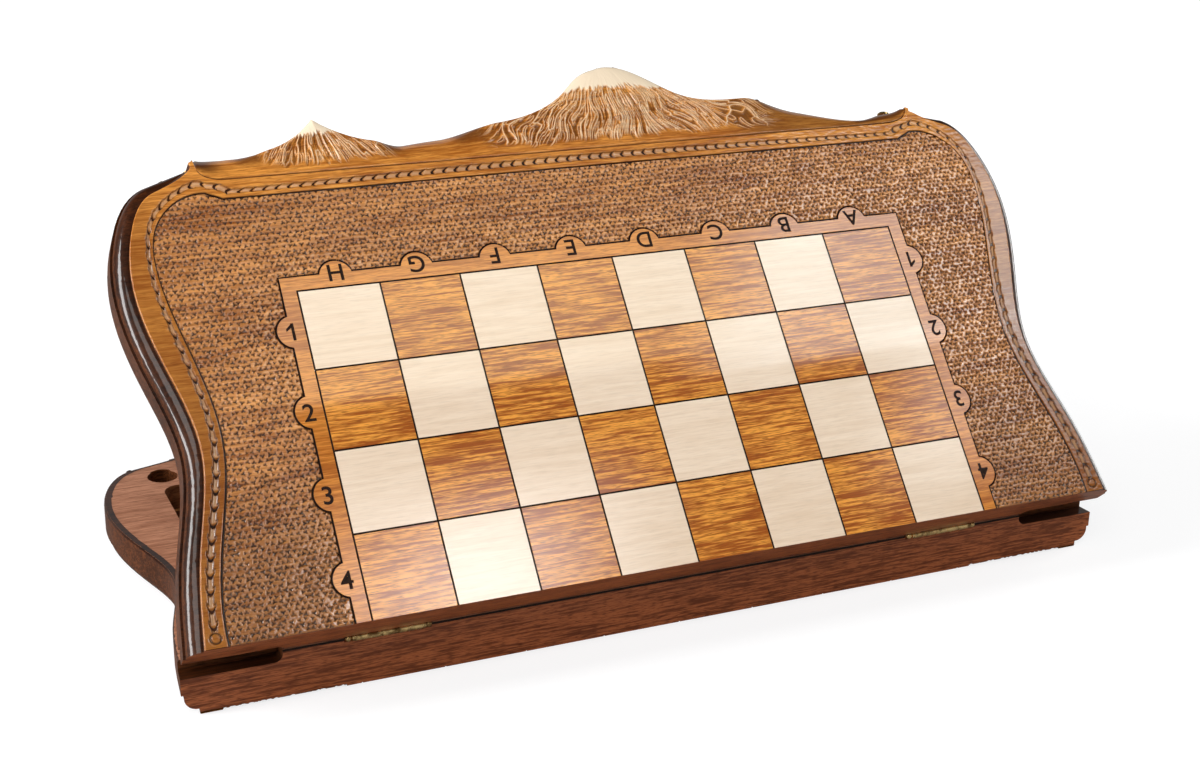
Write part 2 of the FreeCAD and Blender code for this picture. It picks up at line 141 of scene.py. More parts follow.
# Wood finishes: dark and pale grain colours, and where lacquer and figure differ from the plain wood.
# "paint" holds the colours of what is painted over the grain, such as burnt lines and snow, and also painted
# highlight and painted shade.
plainWood = {"coat": 1.0, "rough": 0.42, "ior": 1.36, "figure": 0.3, "streak": 0.5, "plank": 0.4,
             "fleck": 0.6, "spread": 0.24, "bump": 0.06, "grain": 1.0, "paint": {}}
burnt = {"colour": (0.010, 0.004, 0.002), "soot": (0.030, 0.011, 0.005), "sootScale": 700.0,
         "sootFrom": (0.35, 0.7), "rough": 0.6, "sheen": 0.15}
finishes = {
    "lightSquare": {"dark": (0.81, 0.625, 0.465), "pale": (0.92, 0.755, 0.60), "rough": 0.45, "streak": 0.45,
                    "fleck": 0.16, "bump": 0.05},
    "darkSquare": {"dark": (0.34, 0.080, 0.006), "pale": (0.86, 0.355, 0.050), "figure": 0.35, "streak": 1.0,
                   "plank": 0.3, "fleck": 0.75, "spread": 0.14, "bump": 0.08, "grain": 1.4},
    "frameStrip": {"dark": (0.41, 0.116, 0.012), "pale": (0.75, 0.285, 0.041), "figure": 0.5, "streak": 0.6,
                   "plank": 0.5, "fleck": 0.5, "spread": 0.18, "grain": 1.3},
    "border": {"dark": (0.38, 0.110, 0.013), "pale": (0.86, 0.36, 0.068), "rough": 0.40, "figure": 0.6,
               "streak": 0.8, "plank": 0.5, "spread": 0.22, "bump": 0.08, "grain": 1.4,
               # the border's paint: burnt lines, painted shade on the sides and a painted highlight on the
               # chain's bars
               "paint": {"stain": (0.17, 0.045, 0.006), "bare": (0.76, 0.50, 0.30), "burn": burnt["colour"]}},
    # the ground's paint: painted shade at the sides toward the hinge ends and painted shade in the pits
    "ground": {"dark": (0.26, 0.075, 0.014), "pale": (0.76, 0.335, 0.10), "ior": 1.5, "figure": 0.25,
               "streak": 0.22, "plank": 0.15, "fleck": 0.25, "spread": 0.28, "bump": 0.05, "grain": 1.3,
               "paint": {"stain": (0.13, 0.040, 0.012), "pit": (0.014, 0.005, 0.002)}},
    "wallWood": {"dark": (0.14, 0.036, 0.012), "pale": (0.37, 0.106, 0.036), "coat": 0.5, "rough": 0.40,
                 "streak": 0.9, "plank": 0.3, "fleck": 0.8, "spread": 0.12, "bump": 0.08, "grain": 1.8},
    "edgeWood": {"dark": (0.017, 0.005, 0.002), "pale": (0.060, 0.017, 0.005), "coat": 0.5, "rough": 0.36,
                 "ior": 1.5, "figure": 0.5, "streak": 0.7, "plank": 0.6, "fleck": 0.75, "spread": 0.2,
                 "bump": 0.08, "grain": 1.5},
    "sideWood": {"dark": (0.040, 0.012, 0.004), "pale": (0.130, 0.040, 0.013), "coat": 0.12, "rough": 0.45,
                 "streak": 0.8, "plank": 0.3, "fleck": 0.8, "spread": 0.16, "bump": 0.10, "grain": 1.5},
    "rimWood": {"dark": (0.28, 0.115, 0.062), "pale": (0.48, 0.225, 0.132), "coat": 0.15, "rough": 0.62,
                "streak": 0.9, "plank": 0.3, "fleck": 0.7, "spread": 0.2, "bump": 0.15, "grain": 1.5},
    "trayWood": {"dark": (0.10, 0.035, 0.014), "pale": (0.22, 0.085, 0.034), "coat": 0.6, "rough": 0.45,
                 "figure": 0.5, "bump": 0.1},
    "field": {"dark": (0.36, 0.15, 0.045), "pale": (0.58, 0.29, 0.11), "coat": 0.8, "figure": 0.8,
              "fleck": 0.5},
    "lightPoint": {"dark": (0.74, 0.50, 0.30), "pale": (0.86, 0.66, 0.45), "coat": 0.8, "streak": 0.4,
                   "fleck": 0.4, "bump": 0.05},
    "darkPoint": {"dark": (0.050, 0.016, 0.007), "pale": (0.14, 0.046, 0.018), "coat": 0.8, "figure": 0.5},
}
# the crest's paint: painted shade, a painted highlight on the ribs, painted shade in the valleys, snow caps and
# burnt lines
finishes["crest"] = {**finishes["border"], "paint": {
    "stain": (0.085, 0.022, 0.005), "valleyShade": (0.14, 0.045, 0.011), "ridgeHighlight": (0.90, 0.66, 0.42),
    "snow": (0.97, 0.80, 0.60), "burn": burnt["colour"]}}

# Beech: broad wandering figure, fine streaks and short flecks along the grain, slow change over the plank.
# A layer has its stretch along the grain, then scale, detail, roughness and distortion of its noise.
beech = {
    "figure": (0.10, 110.0, 3.0, 0.6, 1.6), "streak": (0.05, 430.0, 3.0, 0.65, 0.4),
    "plank": (0.18, 14.0, 2.0, 0.5, 0.0), "fleck": (0.08, 1300.0, 1.0, 0.5, 0.0),
    "toneFrom": (0.3, 0.7), "fleckFrom": (0.52, 0.68), "fleckShade": 0.62, "fleckDepth": 0.0003,
}
lacquer = {"roughness": 0.05, "underGloss": 0.10}


def beechLayer(tree, vector, layer):
    along, *noise = beech[layer]
    return noiseOf(tree, stretched(tree, vector, (along, 1.0, 1.0)), *noise)


def woodColour(tree, vector, finish):
    layers = ("figure", "streak", "plank")
    weight = sum(finish[layer] for layer in layers)
    tone = 0.0
    for layer in layers:
        value = ranged(tree, beechLayer(tree, vector, layer), *beech["toneFrom"])
        tone = sumOf(tree, tone, sumOf(tree, value, finish[layer] / weight, "MULTIPLY"))
    tone = ranged(tree, tone, 0.5 - finish["spread"], 0.5 + finish["spread"])
    colour = mixed(tree, tone, finish["dark"], finish["pale"])
    fleck = beechLayer(tree, vector, "fleck")
    flecked = sumOf(tree, ranged(tree, fleck, *beech["fleckFrom"]), finish["fleck"], "MULTIPLY")
    shade = tuple(beech["fleckShade"] * part for part in finish["dark"])
    return mixed(tree, flecked, colour, shade), fleck


def woodMaterial(name, finish, half):
    finish = {**plainWood, **finish}
    material, tree = newMaterial(name)
    vector = stretched(tree, boardCoordinates(tree, half["place"]), (finish["grain"],) * 3)
    colour, fleck = woodColour(tree, vector, finish)
    for attribute, painted in finish["paint"].items():
        factor = addNode(tree, "Attribute", attribute_name=attribute).outputs["Fac"]
        colour = mixed(tree, factor, colour, painted)
    bump = addNode(tree, "Bump", {"Height": fleck, "Strength": finish["bump"],
                                  "Distance": beech["fleckDepth"]})
    closeTree(tree, addNode(tree, "BsdfPrincipled", {
        "Base Color": colour, "Roughness": finish["rough"], "Specular IOR Level": lacquer["underGloss"],
        "Coat Weight": finish["coat"], "Coat Roughness": lacquer["roughness"], "Coat IOR": finish["ior"],
        "Normal": bump.outputs["Normal"]}))
    return material


def burntAndSeamShadeMaterial():
    # Scorched engraving: brown-black with a dull sheen. The same near-black is also painted shade in the chamfer
    # along the seam between the halves
    material, tree = newMaterial("burntLineAndSeamShade")
    soot = noiseOf(tree, objectCoordinates(tree), burnt["sootScale"])
    colour = mixed(tree, ranged(tree, soot, *burnt["sootFrom"]), burnt["colour"], burnt["soot"])
    closeTree(tree, addNode(tree, "BsdfPrincipled", {
        "Base Color": colour, "Roughness": burnt["rough"], "Specular IOR Level": burnt["sheen"]}))
    return material


brassFinish = {
    "brass": {"clean": (1.0, 0.70, 0.30), "tarnish": (0.20, 0.105, 0.035), "rough": (0.14, 0.32)},
    "darkBrass": {"clean": (0.16, 0.12, 0.09), "tarnish": (0.05, 0.04, 0.035), "rough": (0.28, 0.5)},
}
brassWear = {"cloud": (180.0, 4.0, 0.6), "wornFrom": (0.44, 0.62), "roughFrom": (0.35, 0.7), "metallic": 0.92,
             "brushed": (2600.0, 1.0), "brushStretch": (0.08, 1.0, 1.0), "brushBump": 0.12, "brushDepth": 0.0001}


def brassMaterial(name):
    finish = brassFinish[name]
    material, tree = newMaterial(name)
    vector = objectCoordinates(tree)
    cloud = noiseOf(tree, vector, *brassWear["cloud"])
    brushed = noiseOf(tree, stretched(tree, vector, brassWear["brushStretch"]), *brassWear["brushed"])
    colour = mixed(tree, ranged(tree, cloud, *brassWear["wornFrom"]), finish["clean"], finish["tarnish"])
    rough = ranged(tree, cloud, *brassWear["roughFrom"], *finish["rough"])
    bump = addNode(tree, "Bump", {"Height": brushed, "Strength": brassWear["brushBump"],
                                  "Distance": brassWear["brushDepth"]})
    closeTree(tree, addNode(tree, "BsdfPrincipled", {
        "Base Color": colour, "Metallic": brassWear["metallic"], "Roughness": rough,
        "Normal": bump.outputs["Normal"]}))
    return material


burntLineAndSeamShade = burntAndSeamShadeMaterial()
brass = brassMaterial("brass")
darkBrass = brassMaterial("darkBrass")
for key, half in halves.items():
    half["wood"] = {kind: woodMaterial(key + kind[0].upper() + kind[1:], finish, half)
                    for kind, finish in finishes.items()}
    half["wood"]["burnt"] = burntLineAndSeamShade
print("materials mixed:", len(bpy.data.materials))


# Piece helpers

def meshOf(bm, name):
    mesh = bpy.data.meshes.new(name)
    bm.to_mesh(mesh)
    bm.free()
    return mesh


def finishPiece(mesh, half, materials, smooth=True):
    mesh.transform(half["place"])
    if half["place"].determinant() < 0:
        mesh.flip_normals()
    if smooth:
        mesh.polygons.foreach_set("use_smooth", np.ones(len(mesh.polygons), bool))
    for material in materials:
        mesh.materials.append(material)
    piece = bpy.data.objects.new(mesh.name, mesh)
    bpy.context.scene.collection.objects.link(piece)
    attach(piece, half["body"])
    return piece


def boardCopy(node, half):
    # a merged copy of a CAD node, in the board frame of its half
    bm = bmesh.new()
    bm.from_mesh(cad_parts[node].data)
    bmesh.ops.transform(bm, matrix=half["place"].inverted(), verts=bm.verts)
    bmesh.ops.remove_doubles(bm, verts=bm.verts, dist=tiny["merge"])
    if half["place"].determinant() < 0:
        bmesh.ops.reverse_faces(bm, faces=bm.faces)
    return bm


def markSharp(bm, degrees):
    for edge in bm.edges:
        edge.smooth = len(edge.link_faces) == 2 and edge.calc_face_angle(math.pi) < math.radians(degrees)


def readPoints(mesh):
    points = np.zeros(len(mesh.vertices) * 3, np.float32)
    mesh.vertices.foreach_get("co", points)
    return points.reshape(-1, 3).astype(float)


def writePoints(mesh, x, y, z):
    mesh.vertices.foreach_set("co", np.stack([x, y, z], 1).astype(np.float32).ravel())
    mesh.update()


def paint(mesh, **layers):
    for name, values in layers.items():
        layer = mesh.attributes.new(name, "FLOAT", "POINT")
        layer.data.foreach_set("value", np.clip(values, 0, 1).astype(np.float32))


def scatter(i, j, seed):
    # repeatable random numbers for whole-number places
    value = np.sin(i * 127.1 + j * 311.7 + seed * 74.7) * 43758.5453
    return value - np.floor(value)


def softNoise(x, y, seed):
    i, j = np.floor(x), np.floor(y)
    u, v = x - i, y - j
    u, v = u * u * (3 - 2 * u), v * v * (3 - 2 * v)
    low = scatter(i, j, seed) * (1 - u) + scatter(i + 1, j, seed) * u
    high = scatter(i, j + 1, seed) * (1 - u) + scatter(i + 1, j + 1, seed) * u
    return low * (1 - v) + high * v


def ease(value, low, high):
    t = np.clip((value - low) / (high - low), 0, 1)
    return t * t * (3 - 2 * t)


def within(value, a, b, c, d):
    # rises from a to b and falls from c to d
    return ease(value, a, b) * (1 - ease(value, c, d))


def sheetOf(name, columns, rows):
    # a flat grid, to be shaped by moving its points, with each point's column and row
    bm = bmesh.new()
    bmesh.ops.create_grid(bm, x_segments=columns, y_segments=rows, size=0.5)
    bmesh.ops.translate(bm, verts=bm.verts, vec=(0.5, 0.5, 0))
    mesh = meshOf(bm, name)
    grid = readPoints(mesh)
    return mesh, np.rint(grid[:, 0] * columns).astype(int), np.rint(grid[:, 1] * rows).astype(int)


# The case of a half: a merged copy of its CAD node, engraved between the squares and worn at the ears.
# Places over the board and the wear of the ears are in squares, other sizes in metres.

caseCut = {
    "lineWidth": 0.0011, "lineDepth": 0.0006, "sink": 0.00006,
    "island": 4.45,                 # the raised board lies within
    "crestFrom": 5.6, "slope": {"across": 4.87, "from": 5.53, "edge": 4.84},
    "crestDrop": 0.002, "crestShy": 0.0008,
    "earFrom": 4.5, "earWear": (5.62, 5.86), "earDrop": (0.06, 0.12), "earReach": (4.94, 5.14),
    "hollow": {"swell": 0.0024, "depth": 0.0015, "across": -4.9, "from": 5.4, "shape": (4.90, 5.0, 5.1, 5.5)},
    "chamfer": (0.0012, 0.0004),    # along the hinge wall's rim: height, depth
    "wallReach": 0.004, "tray": {"across": 5.22, "along": (0.3, 4.92), "depth": 0.005},
    # how far a face has to turn to count as lying flat, facing up, facing out or standing
    "flatTurn": 0.9, "upTurn": 0.3, "slopeTurn": 0.1, "outTurn": 0.2, "standing": 0.35, "crease": 28,
}
caseKinds = ("wallWood", "edgeWood", "sideWood", "lightSquare", "darkSquare", "frameStrip", "rimWood",
             "trayWood", "burnt")


def earWorn(x, y):
    drop = np.where(np.asarray(x) < 0, *caseCut["earDrop"])
    worn = ease(y / square, *caseCut["earWear"]) * (1 - ease(np.abs(x) / square, *caseCut["earReach"]))
    return y - drop * square * worn


def onFace(face):
    return all(abs(vert.co.z) < tiny["flat"] for vert in face.verts)


def cornersOf(faces):
    return {vert for face in faces for vert in face.verts}


def cutFaces(bm, faces, place, normal):
    geometry = list(faces) + list({edge for face in faces for edge in face.edges}) + list(cornersOf(faces))
    bmesh.ops.bisect_plane(bm, geom=geometry, dist=tiny["cut"], plane_co=place, plane_no=normal)


def islandFaces(bm):
    reach = caseCut["island"] * square
    middles = ((face, face.calc_center_median()) for face in bm.faces if onFace(face))
    return [face for face, middle in middles if abs(middle.x) < reach and middle.y < reach]


def outlineOf(faces):
    # the longest loop of edges around the faces
    chosen = set(faces)
    rim = {}
    for face in faces:
        for edge in face.edges:
            if sum(other in chosen for other in edge.link_faces) == 1:
                first, second = edge.verts
                rim.setdefault(first, []).append(second)
                rim.setdefault(second, []).append(first)
    longest = []
    while rim:
        loop = [next(iter(rim))]
        while True:
            after = [vert for vert in rim.pop(loop[-1]) if vert in rim]
            if not after:
                break
            loop.append(after[0])
        if len(loop) > len(longest):
            longest = loop
    return [vert.co.copy() for vert in longest]


def offLine(value):
    return abs(value / square - round(value / square)) * square


def engraveGrid(bm, island):
    # grooves along the grid lines, with the squares a touch below the face
    halfWidth = caseCut["lineWidth"] / 2
    lines = [(Vector((1, 0, 0)), step * square) for step in range(-4, 5)]
    lines += [(Vector((0, 1, 0)), step * square) for step in range(1, 5)]
    for normal, place in lines:
        for shift in (-halfWidth, 0, halfWidth):
            cutFaces(bm, island, normal * (place + shift), normal)
            island = islandFaces(bm)
    reach = boardEdge + tiny["same"]
    for vert in cornersOf(island):
        x, y = vert.co.x, vert.co.y
        onLine = offLine(x) < tiny["same"] or (round(y / square) > 0 and offLine(y) < tiny["same"])
        if onLine and abs(x) <= reach and y <= reach:
            vert.co.z = -caseCut["lineDepth"]
        elif abs(vert.co.z) < tiny["flat"]:
            vert.co.z = -caseCut["sink"]


def makeRoom(bm, border):
    # the border and the crest's slope give way to the carved sheets that lie on them
    for vert in cornersOf(border):
        vert.co.z = groundLevel
    slope, drop = caseCut["slope"], caseCut["crestDrop"]
    middles = [(face, face.calc_center_median()) for face in bm.faces if face.normal.z > caseCut["slopeTurn"]]
    faces = [face for face, middle in middles if middle.y > slope["from"] * square
             and middle.z < -tiny["flat"] and abs(middle.x) < slope["across"] * square]
    edge = {vert for vert in cornersOf(faces) if vert.co.y > caseCut["crestFrom"] * square
            and abs(vert.co.x) < slope["edge"] * square}
    bmesh.ops.delete(bm, geom=faces, context="FACES")
    for vert in edge:
        if vert.is_valid and vert.co.z > rimLevel + drop + tiny["near"]:
            vert.co.z -= drop
            vert.co.y -= caseCut["crestShy"]


def wearEars(bm):
    # the ear tips are worn down a little, and the hollow outside the left one swells up to its tip
    hollow = caseCut["hollow"]
    for vert in bm.verts:
        point = vert.co
        if abs(point.x) > caseCut["earFrom"] * square and point.y > caseCut["earWear"][0] * square:
            point.y = earWorn(point.x, point.y)
        outside = point.x < hollow["across"] * square and point.y > hollow["from"] * square
        if outside and point.z < -hollow["depth"]:
            point.y += hollow["swell"] * float(within(-point.x / square, *hollow["shape"]))
    bmesh.ops.remove_doubles(bm, verts=bm.verts, dist=tiny["same"])
    bmesh.ops.dissolve_degenerate(bm, edges=bm.edges, dist=tiny["cut"])


def chamferWall(bm):
    # the hinge wall is chamfered along the rim; caseKind paints the chamfer near-black, a painted shade for the
    # gap between the halves
    height, depth = caseCut["chamfer"]
    wall = [face for face in bm.faces if face.normal.y < -caseCut["flatTurn"]
            and face.calc_center_median().y < tiny["flat"]]
    cutFaces(bm, wall, (0, 0, rimLevel + height), (0, 0, 1))
    for vert in bm.verts:
        if vert.co.y < tiny["flat"] and vert.co.z < rimLevel + tiny["flat"]:
            vert.co.y += depth


def onRim(face):
    return face.normal.z < -caseCut["flatTurn"] and face.calc_center_median().z < rimLevel + tiny["near"]


def caseKind(face):
    x, y, z = face.calc_center_median()
    depth, tray = caseCut["lineDepth"], caseCut["tray"]
    onIsland = max(abs(x), y) < stripEdge + board["tabRadius"]
    if onIsland and z > -depth - tiny["flat"] and face.normal.z > caseCut["upTurn"]:
        if any(vert.co.z < -depth / 2 for vert in face.verts):
            return "burnt"
        if max(abs(x), y) < boardEdge + caseCut["lineWidth"]:
            return "lightSquare" if (math.floor(x / square) + math.floor(y / square)) % 2 else "darkSquare"
        return "frameStrip"
    if onIsland and y > tiny["near"] and z > groundLevel:
        return "burnt"
    if onRim(face):
        return "rimWood"
    start, end = tray["along"]
    if abs(x) < tray["across"] * square and start * square < y < end * square and z < -tray["depth"]:
        return "trayWood"
    if y < caseCut["wallReach"] and face.normal.y < -caseCut["outTurn"]:
        # painted shade: the chamfer along the seam between the halves takes the near-black burnt material
        return "burnt" if z < rimLevel + caseCut["chamfer"][0] else "wallWood"
    return "sideWood" if abs(face.normal.z) < caseCut["standing"] else "edgeWood"


def carveCase(key, half):
    bm = boardCopy(half["case"], half)
    island = islandFaces(bm)
    chosen = set(island)
    border = [face for face in bm.faces if onFace(face) and face not in chosen]
    half["borderLoop"] = outlineOf(border)
    half["islandLoop"] = outlineOf(island)
    crest = [vert.co for vert in bm.verts if vert.co.z < rimLevel + tiny["flat"]
             and vert.co.y > caseCut["crestFrom"] * square]
    half["crestLine"] = sorted((point.x, point.y) for point in crest)
    engraveGrid(bm, island)
    makeRoom(bm, border)
    wearEars(bm)
    chamferWall(bm)
    half["rimLoop"] = outlineOf([face for face in bm.faces if onRim(face)])
    for face in bm.faces:
        face.material_index = caseKinds.index(caseKind(face))
    markSharp(bm, caseCut["crease"])
    piece = finishPiece(meshOf(bm, key + "Case"), half, [half["wood"][kind] for kind in caseKinds])
    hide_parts(half["case"])
    return piece


# A dark lacquered band runs along the rim's outer edge on both sides

rimBand = {"width": 0.0038, "proud": 0.00006, "columns": 160, "rows": 3, "from": 4.86, "probe": 0.001,
           "steepest": 1.2}


def bandRim(key, half, side):
    start, columns, rows = rimBand["from"] * square, rimBand["columns"], rimBand["rows"]
    points = [(point.y, abs(point.x)) for point in half["rimLoop"] if point.x * side > start]
    run, edge = np.array(sorted(points)).T
    mesh, column, row = sheetOf(key + ("LeftRim" if side < 0 else "RightRim"), columns, rows)
    y = run[0] + (run[-1] - run[0]) * column / columns
    probe, steepest = rimBand["probe"], rimBand["steepest"]
    slope = (np.interp(y + probe, run, edge) - np.interp(y - probe, run, edge)) / (2 * probe)
    inward = rimBand["width"] * row / rows * np.hypot(1, np.clip(slope, -steepest, steepest))
    x = side * (np.interp(y, run, edge) - inward)
    writePoints(mesh, x, y, np.full(len(x), rimLevel - rimBand["proud"]))
    if side < 0:
        mesh.flip_normals()
    return finishPiece(mesh, half, [half["wood"]["edgeWood"]])


for key, half in halves.items():
    piece = carveCase(key, half)
    bands = [bandRim(key, half, side) for side in (-1, 1)]
    print(key, "case:", len(piece.data.polygons), "faces,", len(bands), "rim bands")


# Carved border: a strip between the face edge and the sunk ground, with a chain of gouge cuts

borderCut = {
    "columns": 2300, "rows": 40,
    # places in squares where the strip's two edges are cut, and the share of the columns in each stretch
    "outerMarks": ((-4.90, 5.855), (-4.35, 5.52), (4.35, 5.52), (4.90, 5.855)),
    "innerMarks": ((-4.80, 5.35), (-4.50, 5.265), (4.50, 5.265), (4.80, 5.35)),
    "columnShares": (0.29, 0.035, 0.35, 0.035, 0.29),
    "edgeRows": (1, 5, 9), "rowShares": (0, 0.07, 0.86, 1),  # rows lie closer along both edges
    "skirt": 0.0022,        # the strip's own edge below the face
    "arris": 0.0007, "arrisDrop": 0.0005,                        # eased outer edge
    "line": 0.00075, "lineWidth": 0.00062, "lineDepth": 0.0011,  # burnt groove along the ground
    "lineBurn": 1.2, "lineShoulder": 0.00045,
    "toolMarks": {"height": 0.00004, "across": 400, "along": 900, "seed": 3},
    "stain": {"sides": (0.68, 0.80), "fade": 0.40, "from": (1.8, 4.6)},
}
chainCut = {
    "place": 0.0070,        # chain from the ground line
    "side": {"pitch": 0.0096, "halfWidth": 0.00150, "flare": 0.00090, "cup": 0.34, "depth": 0.0014,
             "bow": 0.13, "stab": 0.19},
    "top": {"pitch": 0.0075, "halfWidth": 0.0020, "flare": 0.0004, "cup": 0.30, "depth": 0.0014,
            "bow": 0.22, "stab": 0.24},
    "turnToTop": (0.80, 0.95),  # share of the side where its links pass into those of the top
    "cupEdge": (0.08, 0.06), "linkEdge": (-0.00012, 0.00030), "stabEdge": (0.65, 1.25),
    "hollow": 0.25, "barDepth": (0.35, 0.45), "stabDepth": 1.1,
    "burn": 0.96, "sideBurn": (0.85, 0.25), "sideWidth": 0.00036,
    "bare": 0.40, "bareEdge": (0.0003, 0.0007), "bareEnd": (0.99, 0.03),
    "ring": {"place": 0.0054, "radius": 0.0029, "width": 0.0005, "depth": 0.0009, "room": (0.0004, 0.0009),
             "burn": 0.9},
}


def runAlong(points):
    return np.concatenate([[0], np.cumsum(np.hypot(*np.diff(points, axis=0).T))])


def resampled(points, count):
    points = np.array([(point.x, point.y) for point in points])
    steps = runAlong(points)
    places = np.linspace(0, steps[-1], count)
    return np.stack([np.interp(places, steps, points[:, 0]), np.interp(places, steps, points[:, 1])], 1)


def nearestIndex(points, place):
    return min(range(len(points)), key=lambda index: (points[index].xy - Vector(place)).length)


def borderCurves(half):
    # outer and inner edge of the border from the left hinge end to the right one, cut at matching places
    loop = half["borderLoop"]
    ends = [index for index, point in enumerate(loop) if abs(point.y) < tiny["flat"]]
    outerLeft, innerLeft, innerRight, outerRight = sorted(ends, key=lambda index: loop[index].x)

    def walk(start, end, avoid):
        for step in (1, -1):
            chain, index = [loop[start]], start
            while index != end:
                index = (index + step) % len(loop)
                if index == avoid:
                    break
                chain.append(loop[index])
            else:
                return chain
        return []

    outer = walk(outerLeft, outerRight, innerLeft)
    inner = walk(innerLeft, innerRight, outerLeft)
    columns = [round(share * half["detail"] * borderCut["columns"]) for share in borderCut["columnShares"]]
    curves = []
    for chain, marks in ((outer, borderCut["outerMarks"]), (inner, borderCut["innerMarks"])):
        cuts = [0] + [nearestIndex(chain, Vector(mark) * square) for mark in marks] + [len(chain) - 1]
        pieces = [resampled(chain[start:end + 1], count + 1)[:-1] for start, end, count
                  in zip(cuts[:-1], cuts[1:], columns)]
        curves.append(np.concatenate(pieces + [np.array([chain[-1].xy])]))
    return curves[0], curves[1], columns


def cutChain(run, upper, column, fromLine):
    # links: a bowed stab, a flared cup behind it, then a narrow hollow bar that runs under the next cup
    side, top, ring = chainCut["side"], chainCut["top"], chainCut["ring"]
    pitch = side["pitch"] * (1 - upper) + top["pitch"] * upper
    turns = np.concatenate([[0], np.cumsum(np.diff(run) / pitch[1:])])
    link = {name: (side[name] * (1 - upper) + top[name] * upper)[column] for name in side}
    lateral = np.abs(fromLine - chainCut["place"])
    along = turns[column] - link["bow"] * (lateral / link["halfWidth"]) ** 2
    along = along - np.floor(along)
    before, after = chainCut["cupEdge"]
    inCup = 1 - ease(along, link["cup"] - before, link["cup"] + after)
    halfWidth = link["halfWidth"] + link["flare"] * inCup
    inLink = ease(halfWidth - lateral, *chainCut["linkEdge"])
    hollow = chainCut["hollow"]
    hollow = hollow + (1 - hollow) * np.sqrt(np.clip(1 - (lateral / halfWidth) ** 2, 0, 1))
    fromEnd = np.minimum(run[column], run[-1] - run[column])
    inChain = ease(fromEnd, *(ring["place"] + ring["radius"] + room for room in ring["room"]))
    start, end = chainCut["stabEdge"]
    stab = 1 - ease(along, link["stab"] * start, link["stab"] * end)
    shallow, deeper = chainCut["barDepth"]
    cut = link["depth"] * hollow * inLink * inChain
    cut = cut * np.maximum(shallow + deeper * along, chainCut["stabDepth"] * stab)
    strong, fade = chainCut["sideBurn"]
    sides = np.exp(-((lateral - halfWidth) / chainCut["sideWidth"]) ** 2) * (strong - fade * upper[column])
    # the dark crescent at each stab is painted: partly a burnt line, partly painted shadow in the deep end of
    # the cut
    burn = inChain * np.maximum(inLink * stab, sides) * chainCut["burn"]
    # painted highlight: the hollow bar of each link is painted pale, from behind the cup to just short of the
    # next stab
    end, soft = chainCut["bareEnd"]
    bare = inChain * inLink * (1 - inCup) * ease(end - along, 0, soft)
    bare = bare * ease(halfWidth - lateral, *chainCut["bareEdge"]) * chainCut["bare"]
    # a ring closes the chain at each hinge end
    hoop = np.exp(-((np.hypot(fromEnd - ring["place"], lateral) - ring["radius"]) / ring["width"]) ** 2)
    return cut + ring["depth"] * hoop, np.maximum(burn, ring["burn"] * hoop), bare


def carveBorder(key, half):
    outer, inner, columns = borderCurves(half)
    half["groundLine"] = inner
    nearEar = np.abs(outer[:, 0]) > caseCut["earFrom"] * square
    outer[:, 1] = np.where(nearEar, earWorn(outer[:, 0], outer[:, 1]), outer[:, 1])
    half["scoopLine"] = outer[columns[0]:len(outer) - columns[-1]]
    total, rows = len(outer) - 1, borderCut["rows"]
    mesh, column, row = sheetOf(key + "Border", total, rows)
    first, near, far = borderCut["edgeRows"]
    across = np.interp(row, (first, near, rows - far, rows), borderCut["rowShares"])
    x, y = (outer[column] * (1 - across)[:, None] + inner[column] * across[:, None]).T
    span = np.hypot(*(outer - inner).T)
    fromEdge, fromLine = across * span[column], (1 - across) * span[column]
    chain = inner + (outer - inner) * (chainCut["place"] / span)[:, None]
    start, end = chainCut["turnToTop"]
    steps = np.arange(total + 1)
    upper = ease(steps, columns[0] * start, columns[0] * end)
    upper *= ease(total - steps, columns[-1] * start, columns[-1] * end)
    cut, burn, bare = cutChain(runAlong(chain), upper, column, fromLine)

    line, toolMarks, stain = borderCut["line"], borderCut["toolMarks"], borderCut["stain"]
    groove = np.exp(-((fromLine - line) / borderCut["lineWidth"]) ** 4)
    height = -cut - borderCut["arrisDrop"] * np.clip(1 - fromEdge / borderCut["arris"], 0, 1) ** 2
    height -= borderCut["lineDepth"] * groove + borderCut["lineShoulder"] * ease(line - fromLine, 0, line)
    grazed = softNoise(x * toolMarks["across"], y * toolMarks["along"], toolMarks["seed"])
    height -= toolMarks["height"] * grazed
    height[row == 0] = -borderCut["skirt"]
    writePoints(mesh, x, y, height)
    # painted shade: the border's sides are painted darker, most toward the hinge ends and not at all along the
    # top
    fading = 1 - stain["fade"] * ease(y / square, *stain["from"])
    paint(mesh, burn=np.maximum(burn, np.minimum(1, borderCut["lineBurn"] * groove)), bare=bare,
          stain=np.where(x < 0, *stain["sides"]) * fading * (1 - upper[column]))
    return finishPiece(mesh, half, [half["wood"]["border"]])


# Stippled ground: sheets of punched pits between the border and the strip

